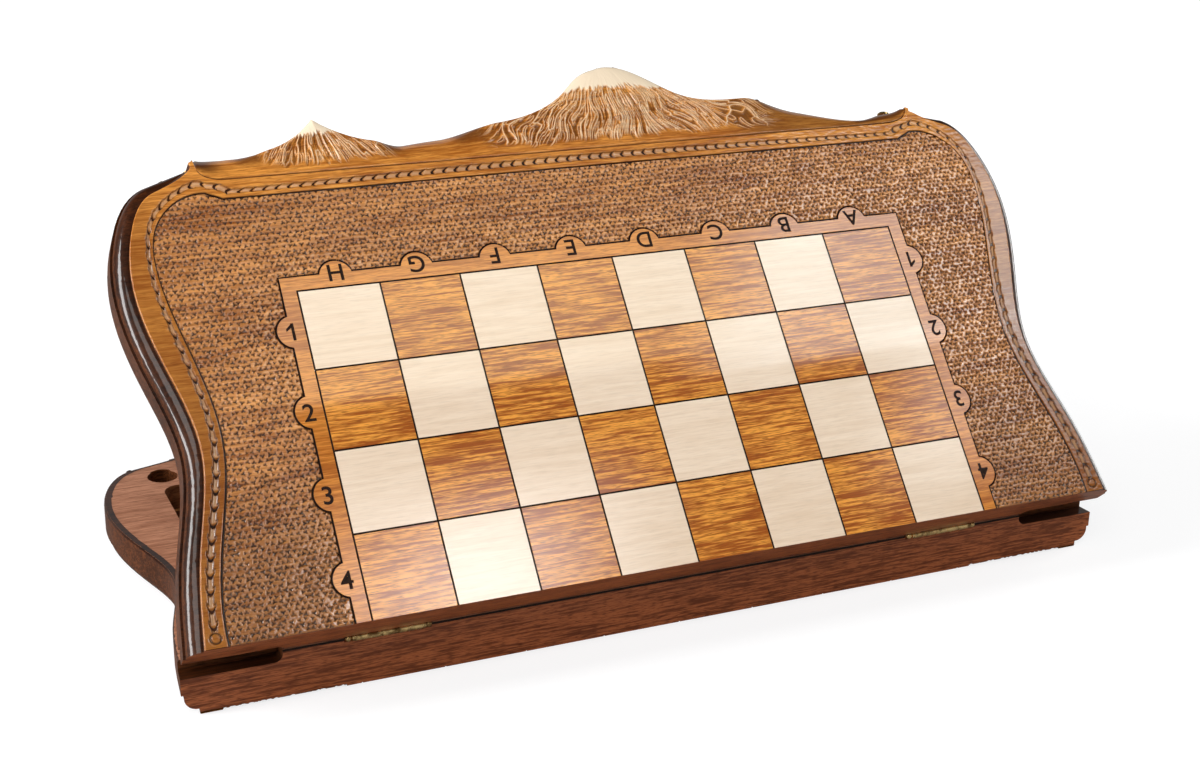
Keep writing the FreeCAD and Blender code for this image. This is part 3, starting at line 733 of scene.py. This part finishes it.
groundCut = {
    "step": 0.00042, "level": 0.00022, "top": 0.00012, "floor": 0.00004, "hingeDrop": 0.0003,
    "margin": 0.0003, "moat": 0.0011, "middle": 2.6,
    "zones": {"LeftLow": ((-5.66, -4.12), (0.0, 2.7)), "LeftHigh": ((-5.66, -4.12), (2.7, 5.42)),
              "TopLeft": ((-4.12, 0.0), (4.10, 5.32)), "TopRight": ((0.0, 4.12), (4.10, 5.32)),
              "RightLow": ((4.12, 5.66), (0.0, 2.7)), "RightHigh": ((4.12, 5.66), (2.7, 5.42))},
    # burnt groove round the strip and its tabs: distance from the strip's edge, height
    "outline": ((-0.00010, -0.00005), (0.00025, -0.00090), (0.00085, -0.00090), (0.00120, -0.00032)),
    "swell": {"height": 0.00007, "scale": 160, "seed": 6},
    "lip": {"height": 0.00004, "scale": 700, "seed": 7},
    "stain": {"sides": (0.55, 0.45), "across": (3.8, 4.6), "along": (0.6, 2.2)},
}
pit = {"depth": 0.00085, "radius": 0.00071, "pitch": (0.0035, 0.0030), "jitter": 0.42, "turn": 2.1,
       "lobes": 0.42, "sizes": (0.75, 0.5), "depths": (0.75, 0.25), "squash": 0.85, "reach": 1.7,
       "edge": (0.02, 0.62), "paint": 0.96}


def islandDistance(x, y):
    # distance from the plain strip and its tabs
    away = np.maximum(np.abs(x), y) - stripEdge
    corner = (np.abs(x) > stripEdge) & (y > stripEdge)
    away = np.where(corner, np.hypot(np.abs(x) - stripEdge, y - stripEdge), away)
    tab = stripEdge - board["tabSink"]
    file = (np.clip(np.floor(x / square), -4, 3) + 0.5) * square
    rank = (np.clip(np.floor(y / square), 0, 3) + 0.5) * square
    away = np.minimum(away, np.hypot(x - file, y - tab) - board["tabRadius"])
    return np.minimum(away, np.hypot(np.abs(x) - tab, y - rank) - board["tabRadius"])


def outlineIsland(key, half):
    loop = half["islandLoop"]
    first = nearestIndex(loop, (-stripEdge, 0))
    loop = loop[first:] + loop[:first]
    if abs(loop[1].y) < tiny["same"]:
        loop = [loop[0]] + loop[:0:-1]
    points = np.array([point.xy for point in loop[:nearestIndex(loop, (stripEdge, 0)) + 1]])
    tangent = np.gradient(points, axis=0)
    tangent /= np.hypot(*tangent.T)[:, None]
    normal = np.stack([-tangent[:, 1], tangent[:, 0]], 1)
    section = np.array(groundCut["outline"])
    mesh, column, row = sheetOf(key + "Outline", len(points) - 1, len(section) - 1)
    place = points[column] + normal[column] * section[row, 0][:, None]
    writePoints(mesh, *place.T, section[row, 1])
    return finishPiece(mesh, half, [burntLineAndSeamShade])


def insidePolygon(x, y, polygon):
    inside = np.zeros(len(x), bool)
    for (ax, ay), (bx, by) in zip(polygon, np.roll(polygon, -1, axis=0)):
        crosses = (ay > y) != (by > y)
        if ay != by:
            inside ^= crosses & (x < (bx - ax) * (y - ay) / (by - ay) + ax)
    return inside


def pitDepths(x, y):
    # three-cornered punch marks on a loose, slightly wandering grid
    px, py = pit["pitch"]
    small, larger = pit["sizes"]
    shallow, deeper = pit["depths"]
    deep = np.zeros(len(x))
    for dj in (-1, 0, 1):
        j = np.floor(y / py) + dj
        shift = 0.5 * np.mod(j, 2)
        for di in (-1, 0, 1):
            i = np.floor(x / px - shift) + di
            dx = x - (i + shift + 0.5 + pit["jitter"] * (scatter(i, j, 1) - 0.5)) * px
            dy = y - (j + 0.5 + pit["jitter"] * (scatter(i, j, 2) - 0.5)) * py
            turn = scatter(i, j, 3) * pit["turn"]
            reach = pit["radius"] * (small + larger * scatter(i, j, 4))
            reach = reach * (1 + pit["lobes"] * np.cos(3 * (np.arctan2(dy, dx) - turn)))
            punched = ease(1 - np.hypot(dx * pit["squash"], dy) / (reach * pit["reach"]), *pit["edge"])
            deep = np.maximum(deep, (shallow + deeper * scatter(i, j, 5)) * punched)
    return deep


def groundSheet(name, half, zone):
    # a grid over the zone, without the points that lie beyond the border
    (x0, x1), (y0, y1) = np.array(groundCut["zones"][zone]) * square
    step = groundCut["step"] / half["detail"]
    columns, rows = round((x1 - x0) / step), round((y1 - y0) / step)
    bm = bmesh.new()
    bmesh.ops.create_grid(bm, x_segments=columns, y_segments=rows, size=0.5)
    place = Matrix.Translation(((x0 + x1) / 2, (y0 + y1) / 2, 0)) @ Matrix.Diagonal((x1 - x0, y1 - y0, 1, 1))
    bmesh.ops.transform(bm, matrix=place, verts=bm.verts)
    x, y = np.array([vert.co.xy for vert in bm.verts]).T
    line, margin = half["groundLine"], groundCut["margin"]
    outward = line - np.array([0, groundCut["middle"] * square])
    grown = line + outward / np.hypot(*outward.T)[:, None] * margin
    side = np.interp(0, line[:2, 1], np.abs(line[:2, 0]))
    beyond = np.where(y > tiny["same"], ~insidePolygon(x, y, grown), np.abs(x) > side + margin)
    bm.verts.ensure_lookup_table()
    bmesh.ops.delete(bm, geom=[bm.verts[index] for index in np.nonzero(beyond)[0]], context="VERTS")
    return meshOf(bm, name)


def carveGround(key, half, zone):
    mesh = groundSheet(key + "Ground" + zone, half, zone)
    x, y = readPoints(mesh)[:, :2].T
    deep = pitDepths(x, y)
    swell, lip = (wave["height"] * (softNoise(x * wave["scale"], y * wave["scale"], wave["seed"]) - 0.5)
                  for wave in (groundCut["swell"], groundCut["lip"]))
    lowest = groundLevel + groundCut["floor"]
    height = -groundCut["level"] - pit["depth"] * deep + swell + lip * (1 - deep)
    height = np.clip(height, lowest, -groundCut["top"])
    height[islandDistance(x, y) < groundCut["moat"]] = lowest
    height[y < tiny["same"]] = groundLevel - groundCut["hingeDrop"]
    writePoints(mesh, x, y, height)
    # painted shade: the ground at the sides is painted darker toward the hinge ends
    stain = groundCut["stain"]
    dark = ease(np.abs(x) / square, *stain["across"]) * (1 - ease(y / square, *stain["along"]))
    # painted shade: the pits are painted near-black by their depth
    paint(mesh, pit=deep * pit["paint"], stain=np.where(x < 0, *stain["sides"]) * dark)
    return finishPiece(mesh, half, [half["wood"]["ground"]])


# Crest: scooped slope between the ears with two carved snow-capped peaks. Places along and up the board
# are in squares, other sizes in metres.

crestCut = {
    "columns": 1100, "rows": 86, "wallRows": 4, "narrowest": 0.0001,
    # columns crowd where the peaks are: place, share of the columns
    "crowd": ((-4.90, 0), (-4.30, 0.05), (-2.15, 0.30), (-1.50, 0.33), (3.20, 0.94), (4.90, 1)),
    "lift": ((-4.9, -0.02), (-4.8, 0.05), (-4.4, 0.03), (-4.1, 0), (4.2, 0), (4.6, 0.04), (4.85, 0.05),
             (4.9, -0.02)),
    "earBlend": 0.6, "earSide": 0.0022, "earSideShape": (0.0, 0.1, 0.2, 0.8),
    "scoopSlope": 40.0, "peakSlope": 12.5, "round": 1.6, "reliefFade": 8, "lie": 0.00003, "topLie": 0.00005,
    "backEdge": 0.0005, "footLine": 0.0005, "footDepth": 0.0006,
    "wallShy": 0.0013, "wallEnd": 0.0275, "wallStain": 0.95,
    "flankShade": {"strength": 0.75, "edge": (0.1, 0.9), "up": (0.25, 0.8)},
    "earShade": {"strength": 0.9, "rightShift": 0.6, "across": (4.45, 4.75), "up": (0.0, 0.5)},
    "rightShade": {"strength": 0.55, "across": (1.9, 2.8)},
}
peakCut = {
    "great": {"lean": (-1.75, -0.95, 2.55, 3.35), "carved": (-1.30, -0.95, 2.45, 3.05),
              "apex": (0.72, 6.84), "snow": 6.43, "reach": 1.1, "lines": 38.0, "seed": 23},
    "small": {"lean": (-4.50, -3.90, -2.65, -2.20), "carved": (-4.12, -3.85, -2.70, -2.30),
              "apex": (-3.30, 6.33), "snow": 6.12, "reach": 0.5, "lines": 26.0, "seed": 11},
    "spring": 0.25, "bend": (2.4, 3.0),     # the lines fan out from a point above the apex and wander
    # share of the lines, how far they bend, change along them
    "spurs": (0.35, 2.2, 1.6), "gullies": (1.0, 6.0, 3.4), "fine": (2.1, 10.0, 5.5),
    "spurHeight": 0.0014, "spurLevel": 0.7, "gullyDepth": 0.0016, "gullyLevel": 0.75, "ribWidth": 0.0009,
    "fineFrom": (0.35, 0.9), "fineShy": (0.0012, 0.0010), "steepest": 20.0,
    "line": 0.00050, "lineEdge": (0.3, 1.3), "broken": (0.55, 0.45, 14.0), "valleyShade": (0.0007, 0.0020),
    "valleyShadeStrength": 0.7, "foot": (0.10, 0.20), "footShift": 0.05, "footRagged": (22.0, 2.0, 0.10),
    "snowDrop": 0.10, "snowEdge": (-0.012, 0.018), "snowFingers": (34.0, 1.5, 0.12), "snowSway": (3.0, 0.08),
    "underSnow": 0.94, "snowFrom": 0.02,
}


def carvePeak(peak, sx, sy, up, fromCrossing):
    # relief and paint of one peak: ribs where noise lines fan out from above the apex, under a snow cap. The
    # ribs carry a painted highlight and the valleys between them painted shade
    cut, seed = peakCut, peak["seed"]
    here = within(sx, *peak["carved"])
    ax, ay = peak["apex"]
    angle = np.arctan2(sx - ax, ay + cut["spring"] - sy)
    away = np.hypot(sx - ax, ay + cut["spring"] - sy)
    bend = softNoise(sx * cut["bend"][0], sy * cut["bend"][1], seed) - 0.5
    fans = []
    for order, name in enumerate(("spurs", "gullies", "fine")):
        share, sway, change = cut[name]
        fans.append(softNoise(angle * peak["lines"] * share + bend * sway, away * change, seed + 1 + order))
    spurs, gullies, fine = fans
    turn, change, depth = cut["snowFingers"]
    scale, sway = cut["snowSway"]
    fingers = softNoise(angle * turn, away * change, seed + 4) * depth
    fingers = fingers + softNoise(sx * scale, sy * 0, seed + 5) * sway
    cap = ease(sy - (peak["snow"] - cut["snowDrop"] + fingers), *cut["snowEdge"])
    cap = cap * (here > cut["snowFrom"]) * (np.abs(sx - ax) < peak["reach"])
    turn, change, depth = cut["footRagged"]
    ragged = softNoise(angle * turn, away * change, seed + 6) * depth
    strength = here * ease(up + cut["footShift"] - ragged, *cut["foot"]) * (1 - cut["underSnow"] * cap)
    shy, closer = cut["fineShy"]
    crossing = fromCrossing(fine) + shy - closer * ease(away, *cut["fineFrom"])
    crossing = np.minimum(fromCrossing(gullies), crossing)
    rib = np.exp(-crossing / cut["ribWidth"]) - cut["gullyLevel"]
    relief = strength * (cut["gullyDepth"] * rib + cut["spurHeight"] * (spurs - cut["spurLevel"]))
    faint, clear, scale = cut["broken"]
    broken = faint + clear * softNoise(sx * scale, sy * scale, seed + 7)
    # painted highlight along the ribs, painted shade in the valleys beside them
    ridgeHighlight = strength * broken * (1 - ease(crossing, *(cut["line"] * edge for edge in cut["lineEdge"])))
    valleyShade = strength * ease(crossing, *cut["valleyShade"]) * cut["valleyShadeStrength"]
    return relief, {"snow": cap, "ridgeHighlight": ridgeHighlight, "valleyShade": valleyShade}


def carveCrest(key, half):
    columns, rows = round(crestCut["columns"] * half["detail"]), crestCut["rows"]
    mesh, column, row = sheetOf(key + "Crest", columns, rows)
    places, shares = zip(*crestCut["crowd"])
    sx = np.interp(column / columns, shares, places)
    lineY = np.interp(sx * square, *np.array(half["crestLine"]).T)
    lineY += np.interp(sx, *zip(*crestCut["lift"])) * square
    footY = np.interp(sx * square, *half["scoopLine"].T)
    # the top line starts at the tip of each ear
    for end in (np.argmin(sx), np.argmax(sx)):
        blend = 1 - ease(np.abs(sx - sx[end]), 0.0, crestCut["earBlend"])
        lineY = lineY - (lineY[end] - footY[end]) * blend
    lineY += crestCut["earSide"] * (sx < 0) * within(places[-1] - np.abs(sx), *crestCut["earSideShape"])
    width = np.maximum(lineY - footY, crestCut["narrowest"])
    topRows = rows - crestCut["wallRows"]
    v = np.clip(row / topRows, 0, 1)
    y = footY + v * width

    def onGrid(values):
        table = np.zeros((rows + 1, columns + 1))
        table[row, column] = values
        return table

    stepX = np.gradient(onGrid(sx * square), axis=1)
    stepY = np.maximum(np.gradient(onGrid(y), axis=0), tiny["flat"])

    def fromCrossing(field):
        # distance to where a noise field crosses its middle: thin lines of even width
        table = onGrid(field - 0.5)
        downward, sideways = np.gradient(table)
        slope = np.hypot(downward / stepY, sideways / stepX)
        return (np.abs(table) / np.maximum(slope, peakCut["steepest"]))[row, column]

    mask, relief = np.zeros(len(sx)), np.zeros(len(sx))
    layers = {name: np.zeros(len(sx)) for name in ("snow", "ridgeHighlight", "valleyShade")}
    for peak in (peakCut["small"], peakCut["great"]):
        mask = np.maximum(mask, within(sx, *peak["lean"]))
        carved, painted = carvePeak(peak, sx, y / square, (y - footY) / square, fromCrossing)
        relief += carved
        layers = {name: np.maximum(layers[name], painted[name]) for name in layers}

    # painted shade on the crest: beside each peak, near the ears and toward the right end, kept off the painted
    # highlight of the ribs; below the top, wallStain gives the back its dark wood colour
    flank, ear, right = crestCut["flankShade"], crestCut["earShade"], crestCut["rightShade"]
    nearEar = ease(np.where(sx < 0, -sx, sx + ear["rightShift"]), *ear["across"]) * ease(v, *ear["up"])
    stain = ease(4 * mask * (1 - mask), *flank["edge"]) * ease(v, *flank["up"]) * flank["strength"]
    stain = np.maximum(stain, ear["strength"] * nearEar)
    stain = np.maximum(stain, right["strength"] * ease(sx, *right["across"])) * (1 - layers["ridgeHighlight"])
    scoop, flat = (np.tan(np.radians(crestCut[name])) for name in ("scoopSlope", "peakSlope"))
    power = crestCut["round"]
    height = -width * (scoop * (1 - mask) + flat * mask) * (1 - (1 - v ** power) ** (1 / power))
    height += relief * np.clip((1 - v) * crestCut["reliefFade"], 0, 1)
    height = np.minimum(height - crestCut["lie"] - crestCut["backEdge"] * v ** 6, -crestCut["topLie"])
    line = np.exp(-(v * width / crestCut["footLine"]) ** 2)
    height -= crestCut["footDepth"] * line
    # the back goes down, and below its first row it lies just inside the case wall
    wall = np.clip((row - topRows) / crestCut["wallRows"], 0, 1)
    below = np.minimum(wall * crestCut["wallRows"], 1)
    height = height * (1 - wall) - crestCut["wallEnd"] * wall
    writePoints(mesh, sx * square, y - crestCut["wallShy"] * below, height)
    paint(mesh, burn=line, stain=np.maximum(stain, crestCut["wallStain"] * below),
          **{name: values * (1 - below) for name, values in layers.items()})
    return finishPiece(mesh, half, [half["wood"]["crest"]])


for key, half in halves.items():
    made = [carveBorder(key, half), outlineIsland(key, half)]
    made += [carveGround(key, half, zone) for zone in groundCut["zones"]]
    made.append(carveCrest(key, half))
    print(key, "carving:", [len(piece.data.polygons) for piece in made])


# File and rank marks, burnt into the tabs

marks = {"height": 0.0108, "lift": -0.00002, "stroke": 0.0018, "flag": (0.0030, 0.0032), "bold": 0.00022,
         "flagRoot": (0.4, 1.3), "capital": 0.72, "outward": 0.0022}


def oneMesh():
    # a bar with a slanted flag
    tall, stroke = marks["height"], marks["stroke"]
    reach, drop = marks["flag"]
    inset, root = (share * stroke for share in marks["flagRoot"])
    bar = ((0, 0), (stroke, 0), (stroke, tall), (0, tall))
    flag = ((inset, tall), (-reach, tall - drop), (-reach, tall - drop - stroke), (inset, tall - root))
    bm = bmesh.new()
    for corners in (bar, flag):
        bm.faces.new([bm.verts.new((across, up, 0)) for across, up in corners])
    bmesh.ops.translate(bm, verts=bm.verts, vec=((reach - stroke) / 2, -tall / 2, 0))
    return meshOf(bm, "markOne")


def markMesh(text):
    if text == "1":
        return oneMesh()
    curve = bpy.data.curves.new("mark" + text, "FONT")
    curve.body = text
    curve.size = marks["height"] / marks["capital"]
    curve.align_x = "CENTER"
    curve.offset = marks["bold"]
    holder = bpy.data.objects.new("mark" + text, curve)
    bpy.context.scene.collection.objects.link(holder)
    bpy.context.view_layer.update()
    mesh = bpy.data.meshes.new_from_object(holder.evaluated_get(bpy.context.evaluated_depsgraph_get()))
    bpy.data.objects.remove(holder)
    mesh.transform(Matrix.Translation((0, -marks["height"] / 2, 0)))
    return mesh


def placedMarks(ranks, fileTurn):
    # files along the far edge, ranks up both sides
    out = stripEdge - board["tabSink"] + marks["outward"]
    placed = [(file, (column - 3.5) * square, out, fileTurn) for column, file in enumerate("HGFEDCBA")]
    for side, turn in ((-1, 0), (1, 180)):
        placed += [(rank, side * out, (row + 0.5) * square, turn) for row, rank in enumerate(ranks)]
    return placed


def markBoard(key, half, placed):
    bm = bmesh.new()
    flip = Matrix.Diagonal((-1, 1, 1, 1)) if half["place"].determinant() < 0 else Matrix.Identity(4)
    for text, x, y, turn in placed:
        mesh = markMesh(text)
        turned = Matrix.Rotation(math.radians(turn), 4, "Z") @ flip
        mesh.transform(Matrix.Translation((x, y, marks["lift"])) @ turned)
        bm.from_mesh(mesh)
        bpy.data.meshes.remove(mesh)
    bmesh.ops.recalc_face_normals(bm, faces=bm.faces)
    bmesh.ops.reverse_faces(bm, faces=[face for face in bm.faces if face.normal.z < 0])
    return finishPiece(meshOf(bm, key + "Marks"), half, [burntLineAndSeamShade], smooth=False)


markBoard("lid", halves["lid"], placedMarks("4321", 180))
markBoard("base", halves["base"], placedMarks("5678", 0))
print("marks burnt")


# Hinge leaves: the ends of the knuckles are eased, so dark joints show between them

knuckle = {"ease": 0.0006, "segments": 2, "flatten": 1, "corner": 60, "facing": 0.99, "crease": 40}


def easeLeaf(node, half):
    bm = boardCopy(node, half)
    bmesh.ops.dissolve_limit(bm, angle_limit=math.radians(knuckle["flatten"]), verts=bm.verts, edges=bm.edges)
    corners = [edge for edge in bm.edges if len(edge.link_faces) == 2
               and edge.calc_face_angle(0) > math.radians(knuckle["corner"])]
    rings = [edge for edge in corners
             if max(abs(face.normal.x) for face in edge.link_faces) > knuckle["facing"]]
    bmesh.ops.bevel(bm, geom=rings, offset=knuckle["ease"], offset_type="OFFSET", affect="EDGES",
                    segments=knuckle["segments"], profile=0.5, clamp_overlap=True, material=-1)
    markSharp(bm, knuckle["crease"])
    side, _, level, _ = node.split("_")
    piece = finishPiece(meshOf(bm, side + level.capitalize() + "Leaf"), half, [brass])
    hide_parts(node)
    return piece


leaves = []
for half in halves.values():
    leaves += [easeLeaf(side + "_hinge_" + half["prefix"] + "_leaf", half) for side in ("left", "right")]
print("hinge leaves eased:", len(leaves))


# CAD nodes that stay as they are take their finishes

def dress(node, material):
    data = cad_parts[node].data
    data.materials.clear()
    data.materials.append(material)


for half in halves.values():
    for ending, kind in (("_field", "field"), ("_light_points", "lightPoint"), ("_dark_points", "darkPoint")):
        dress(half["prefix"] + ending, half["wood"][kind])
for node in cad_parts:
    if "hinge" in node or "hook" in node:
        dress(node, brass)
    if "catch_pin" in node:
        dress(node, darkBrass)
print("hardware dressed")


# Studio

studio = {
    "cameraPlace": (-0.47329, -1.02458, 0.54464),
    "cameraRight": (0.915, -0.4040, 0.0206),
    "cameraUp": (0.126, 0.3312, 0.9357),
    "cameraAhead": (0.384, 0.8526, -0.3532),
    "lens": 57.45, "sensor": 36.0, "clipStart": 0.01,
    # middle, size across and along, brightness, what it points at,
    # how far each edge fades (left, right, near, far)
    "softboxes": [
        {"name": "keySoftbox", "place": (-1.2, -1.4, 1.9), "size": (1.3, 1.3), "radiance": 4.4,
         "colour": (1.0, 0.98, 0.95), "aim": (0, 0.05, 0.2)},
        {"name": "warmOverhead", "place": (0.87, -0.84, 2.0), "size": (1.26, 0.36), "radiance": 6.0,
         "colour": (1.0, 0.94, 0.74), "fade": (0, 0.6, 0, 0.5)},
        {"name": "coolOverhead", "place": (1.45, -0.84, 2.03), "size": (1.00, 0.48), "radiance": 8.8,
         "colour": (0.88, 0.98, 1.0), "fade": (0.35, 0.1, 0, 0.3)},
        {"name": "rightSoftbox", "place": (1.75, -1.26, 2.0), "size": (0.80, 0.48), "radiance": 7.0,
         "colour": (0.92, 0.98, 1.0), "fade": (0.4, 0, 0.6, 0)},
        {"name": "frontSoftbox", "place": (0.63, -1.43, 2.0), "size": (0.92, 0.62), "radiance": 16.0,
         "colour": (1.0, 0.99, 1.0), "fade": (0.5, 0.5, 0.5, 0.5)},
        {"name": "leftStrip", "place": (-2.1, 0.25, 0.95), "size": (0.56, 1.9), "radiance": 18.0,
         "colour": (1.0, 1.0, 1.0), "aim": (-0.25, 0.05, 0.12)},
        {"name": "rightStrip", "place": (2.3, 0.5, 0.8), "size": (0.30, 1.5), "radiance": 12.0,
         "colour": (1.0, 1.0, 1.0), "aim": (0.2, 0.1, 0.15)},
    ],
    # dark flags around the set: middle, size, turn about y
    "flags": [
        {"name": "darkCeiling", "place": (1.0, 0.0, 2.6), "size": (9.0, 8.0), "turn": 0},
        {"name": "darkSide", "place": (-2.7, 0.8, 1.35), "size": (2.4, 5.0), "turn": 90},
    ],
    "flagShade": 0.03,
    "worldFill": 0.35,
    # what the camera and reflections see of the floor, what lights the object from it, and its glow
    "floor": {"seenShade": 0.30, "shade": 0.75, "tint": (0.99, 0.99, 1.0, 1), "glow": (0.76, 0.99),
              "reach": (0.5, 1.3), "size": (8.0, 8.0), "level": -0.0004},
}


def hangSoftbox(box):
    lamp = bpy.data.lights.new(box["name"], "AREA")
    lamp.shape = "RECTANGLE"
    lamp.size, lamp.size_y = box["size"]
    lamp.energy = box["radiance"] * math.pi * lamp.size * lamp.size_y
    lamp.color = box["colour"]
    if "fade" in box:
        # cloth that dims toward its edges
        tree = emptyTree(lamp)
        place = addNode(tree, "NewGeometry").outputs["Parametric"]
        axes = addNode(tree, "SeparateXYZ", {"Vector": place}).outputs
        strength = 1.0
        for axis, start, share in zip((0, 0, 1, 1), (0, 1, 0, 1), box["fade"]):
            if share:
                edge = {"Value": axes[axis], "From Min": start, "From Max": abs(start - share)}
                ramp = addNode(tree, "MapRange", edge, interpolation_type="SMOOTHSTEP")
                strength = sumOf(tree, ramp.outputs["Result"], strength, "MULTIPLY")
        closeTree(tree, addNode(tree, "Emission", {"Strength": strength}), "Light")
    hung = bpy.data.objects.new(box["name"], lamp)
    hung.location = box["place"]
    hung.visible_camera = False
    if "aim" in box:
        hung.rotation_euler = (Vector(box["aim"]) - hung.location).to_track_quat("-Z", "Y").to_euler()
    bpy.context.scene.collection.objects.link(hung)


def stagePlane(name, material, place, size, turn=0):
    bm = bmesh.new()
    bmesh.ops.create_grid(bm, x_segments=2, y_segments=2, size=0.5)
    turned = Matrix.Rotation(math.radians(turn), 4, "Y") @ Matrix.Diagonal((*size, 1, 1))
    bmesh.ops.transform(bm, matrix=Matrix.Translation(place) @ turned, verts=bm.verts)
    mesh = meshOf(bm, name)
    mesh.materials.append(material)
    plane = bpy.data.objects.new(name, mesh)
    bpy.context.scene.collection.objects.link(plane)
    return plane


def greyDiffuse(tree, shade):
    return addNode(tree, "BsdfDiffuse", {"Color": (shade, shade, shade, 1)})


def setCamera():
    axes = ("cameraRight", "cameraUp", "cameraAhead")
    right, up, ahead = (Vector(studio[name]).normalized() for name in axes)
    camera = bpy.data.cameras.new("photoCamera")
    camera.lens = studio["lens"]
    camera.sensor_width = studio["sensor"]
    camera.clip_start = studio["clipStart"]
    standing = bpy.data.objects.new("photoCamera", camera)
    turned = Matrix((right, up, -ahead)).transposed().to_4x4()
    standing.matrix_world = Matrix.Translation(studio["cameraPlace"]) @ turned
    bpy.context.scene.collection.objects.link(standing)
    bpy.context.scene.camera = standing


def whiteWorld():
    world = bpy.data.worlds.new("studioWorld")
    bpy.context.scene.world = world
    tree = emptyTree(world)
    path = addNode(tree, "LightPath").outputs
    seen = sumOf(tree, path["Is Camera Ray"], path["Is Transmission Ray"], "MAXIMUM")
    strength = ranged(tree, seen, 0.0, 1.0, studio["worldFill"], 1.0)
    closeTree(tree, addNode(tree, "Background", {"Color": (1, 1, 1, 1), "Strength": strength}), "World")


def layFloor():
    floor = studio["floor"]
    material, tree = newMaterial("paleFloor")
    path = addNode(tree, "LightPath").outputs
    seen, plain = greyDiffuse(tree, floor["seenShade"]), greyDiffuse(tree, floor["shade"])
    # the floor pales away from the object
    away = addNode(tree, "VectorMath", {0: objectCoordinates(tree)}, operation="LENGTH").outputs["Value"]
    level = ranged(tree, away, *floor["reach"], *floor["glow"])
    glow = addNode(tree, "Emission", {"Color": floor["tint"], "Strength": level})
    lit = addNode(tree, "AddShader", {0: seen.outputs[0], 1: glow.outputs[0]})
    unseen = addNode(tree, "MixShader", {0: path["Is Glossy Ray"], 1: plain.outputs[0], 2: seen.outputs[0]})
    mix = addNode(tree, "MixShader", {0: path["Is Camera Ray"], 1: unseen.outputs[0], 2: lit.outputs[0]})
    closeTree(tree, mix)
    stagePlane("paleFloor", material, (0, 0, floor["level"]), floor["size"])


def hangFlags():
    # dark studio ceiling and side behind the softboxes
    material, tree = newMaterial("darkFlag")
    closeTree(tree, greyDiffuse(tree, studio["flagShade"]))
    for flag in studio["flags"]:
        plane = stagePlane(flag["name"], material, flag["place"], flag["size"], flag["turn"])
        plane.visible_camera = False


setCamera()
for box in studio["softboxes"]:
    hangSoftbox(box)
whiteWorld()
layFloor()
hangFlags()
bpy.context.scene.view_settings.view_transform = "Standard"
print("studio ready")
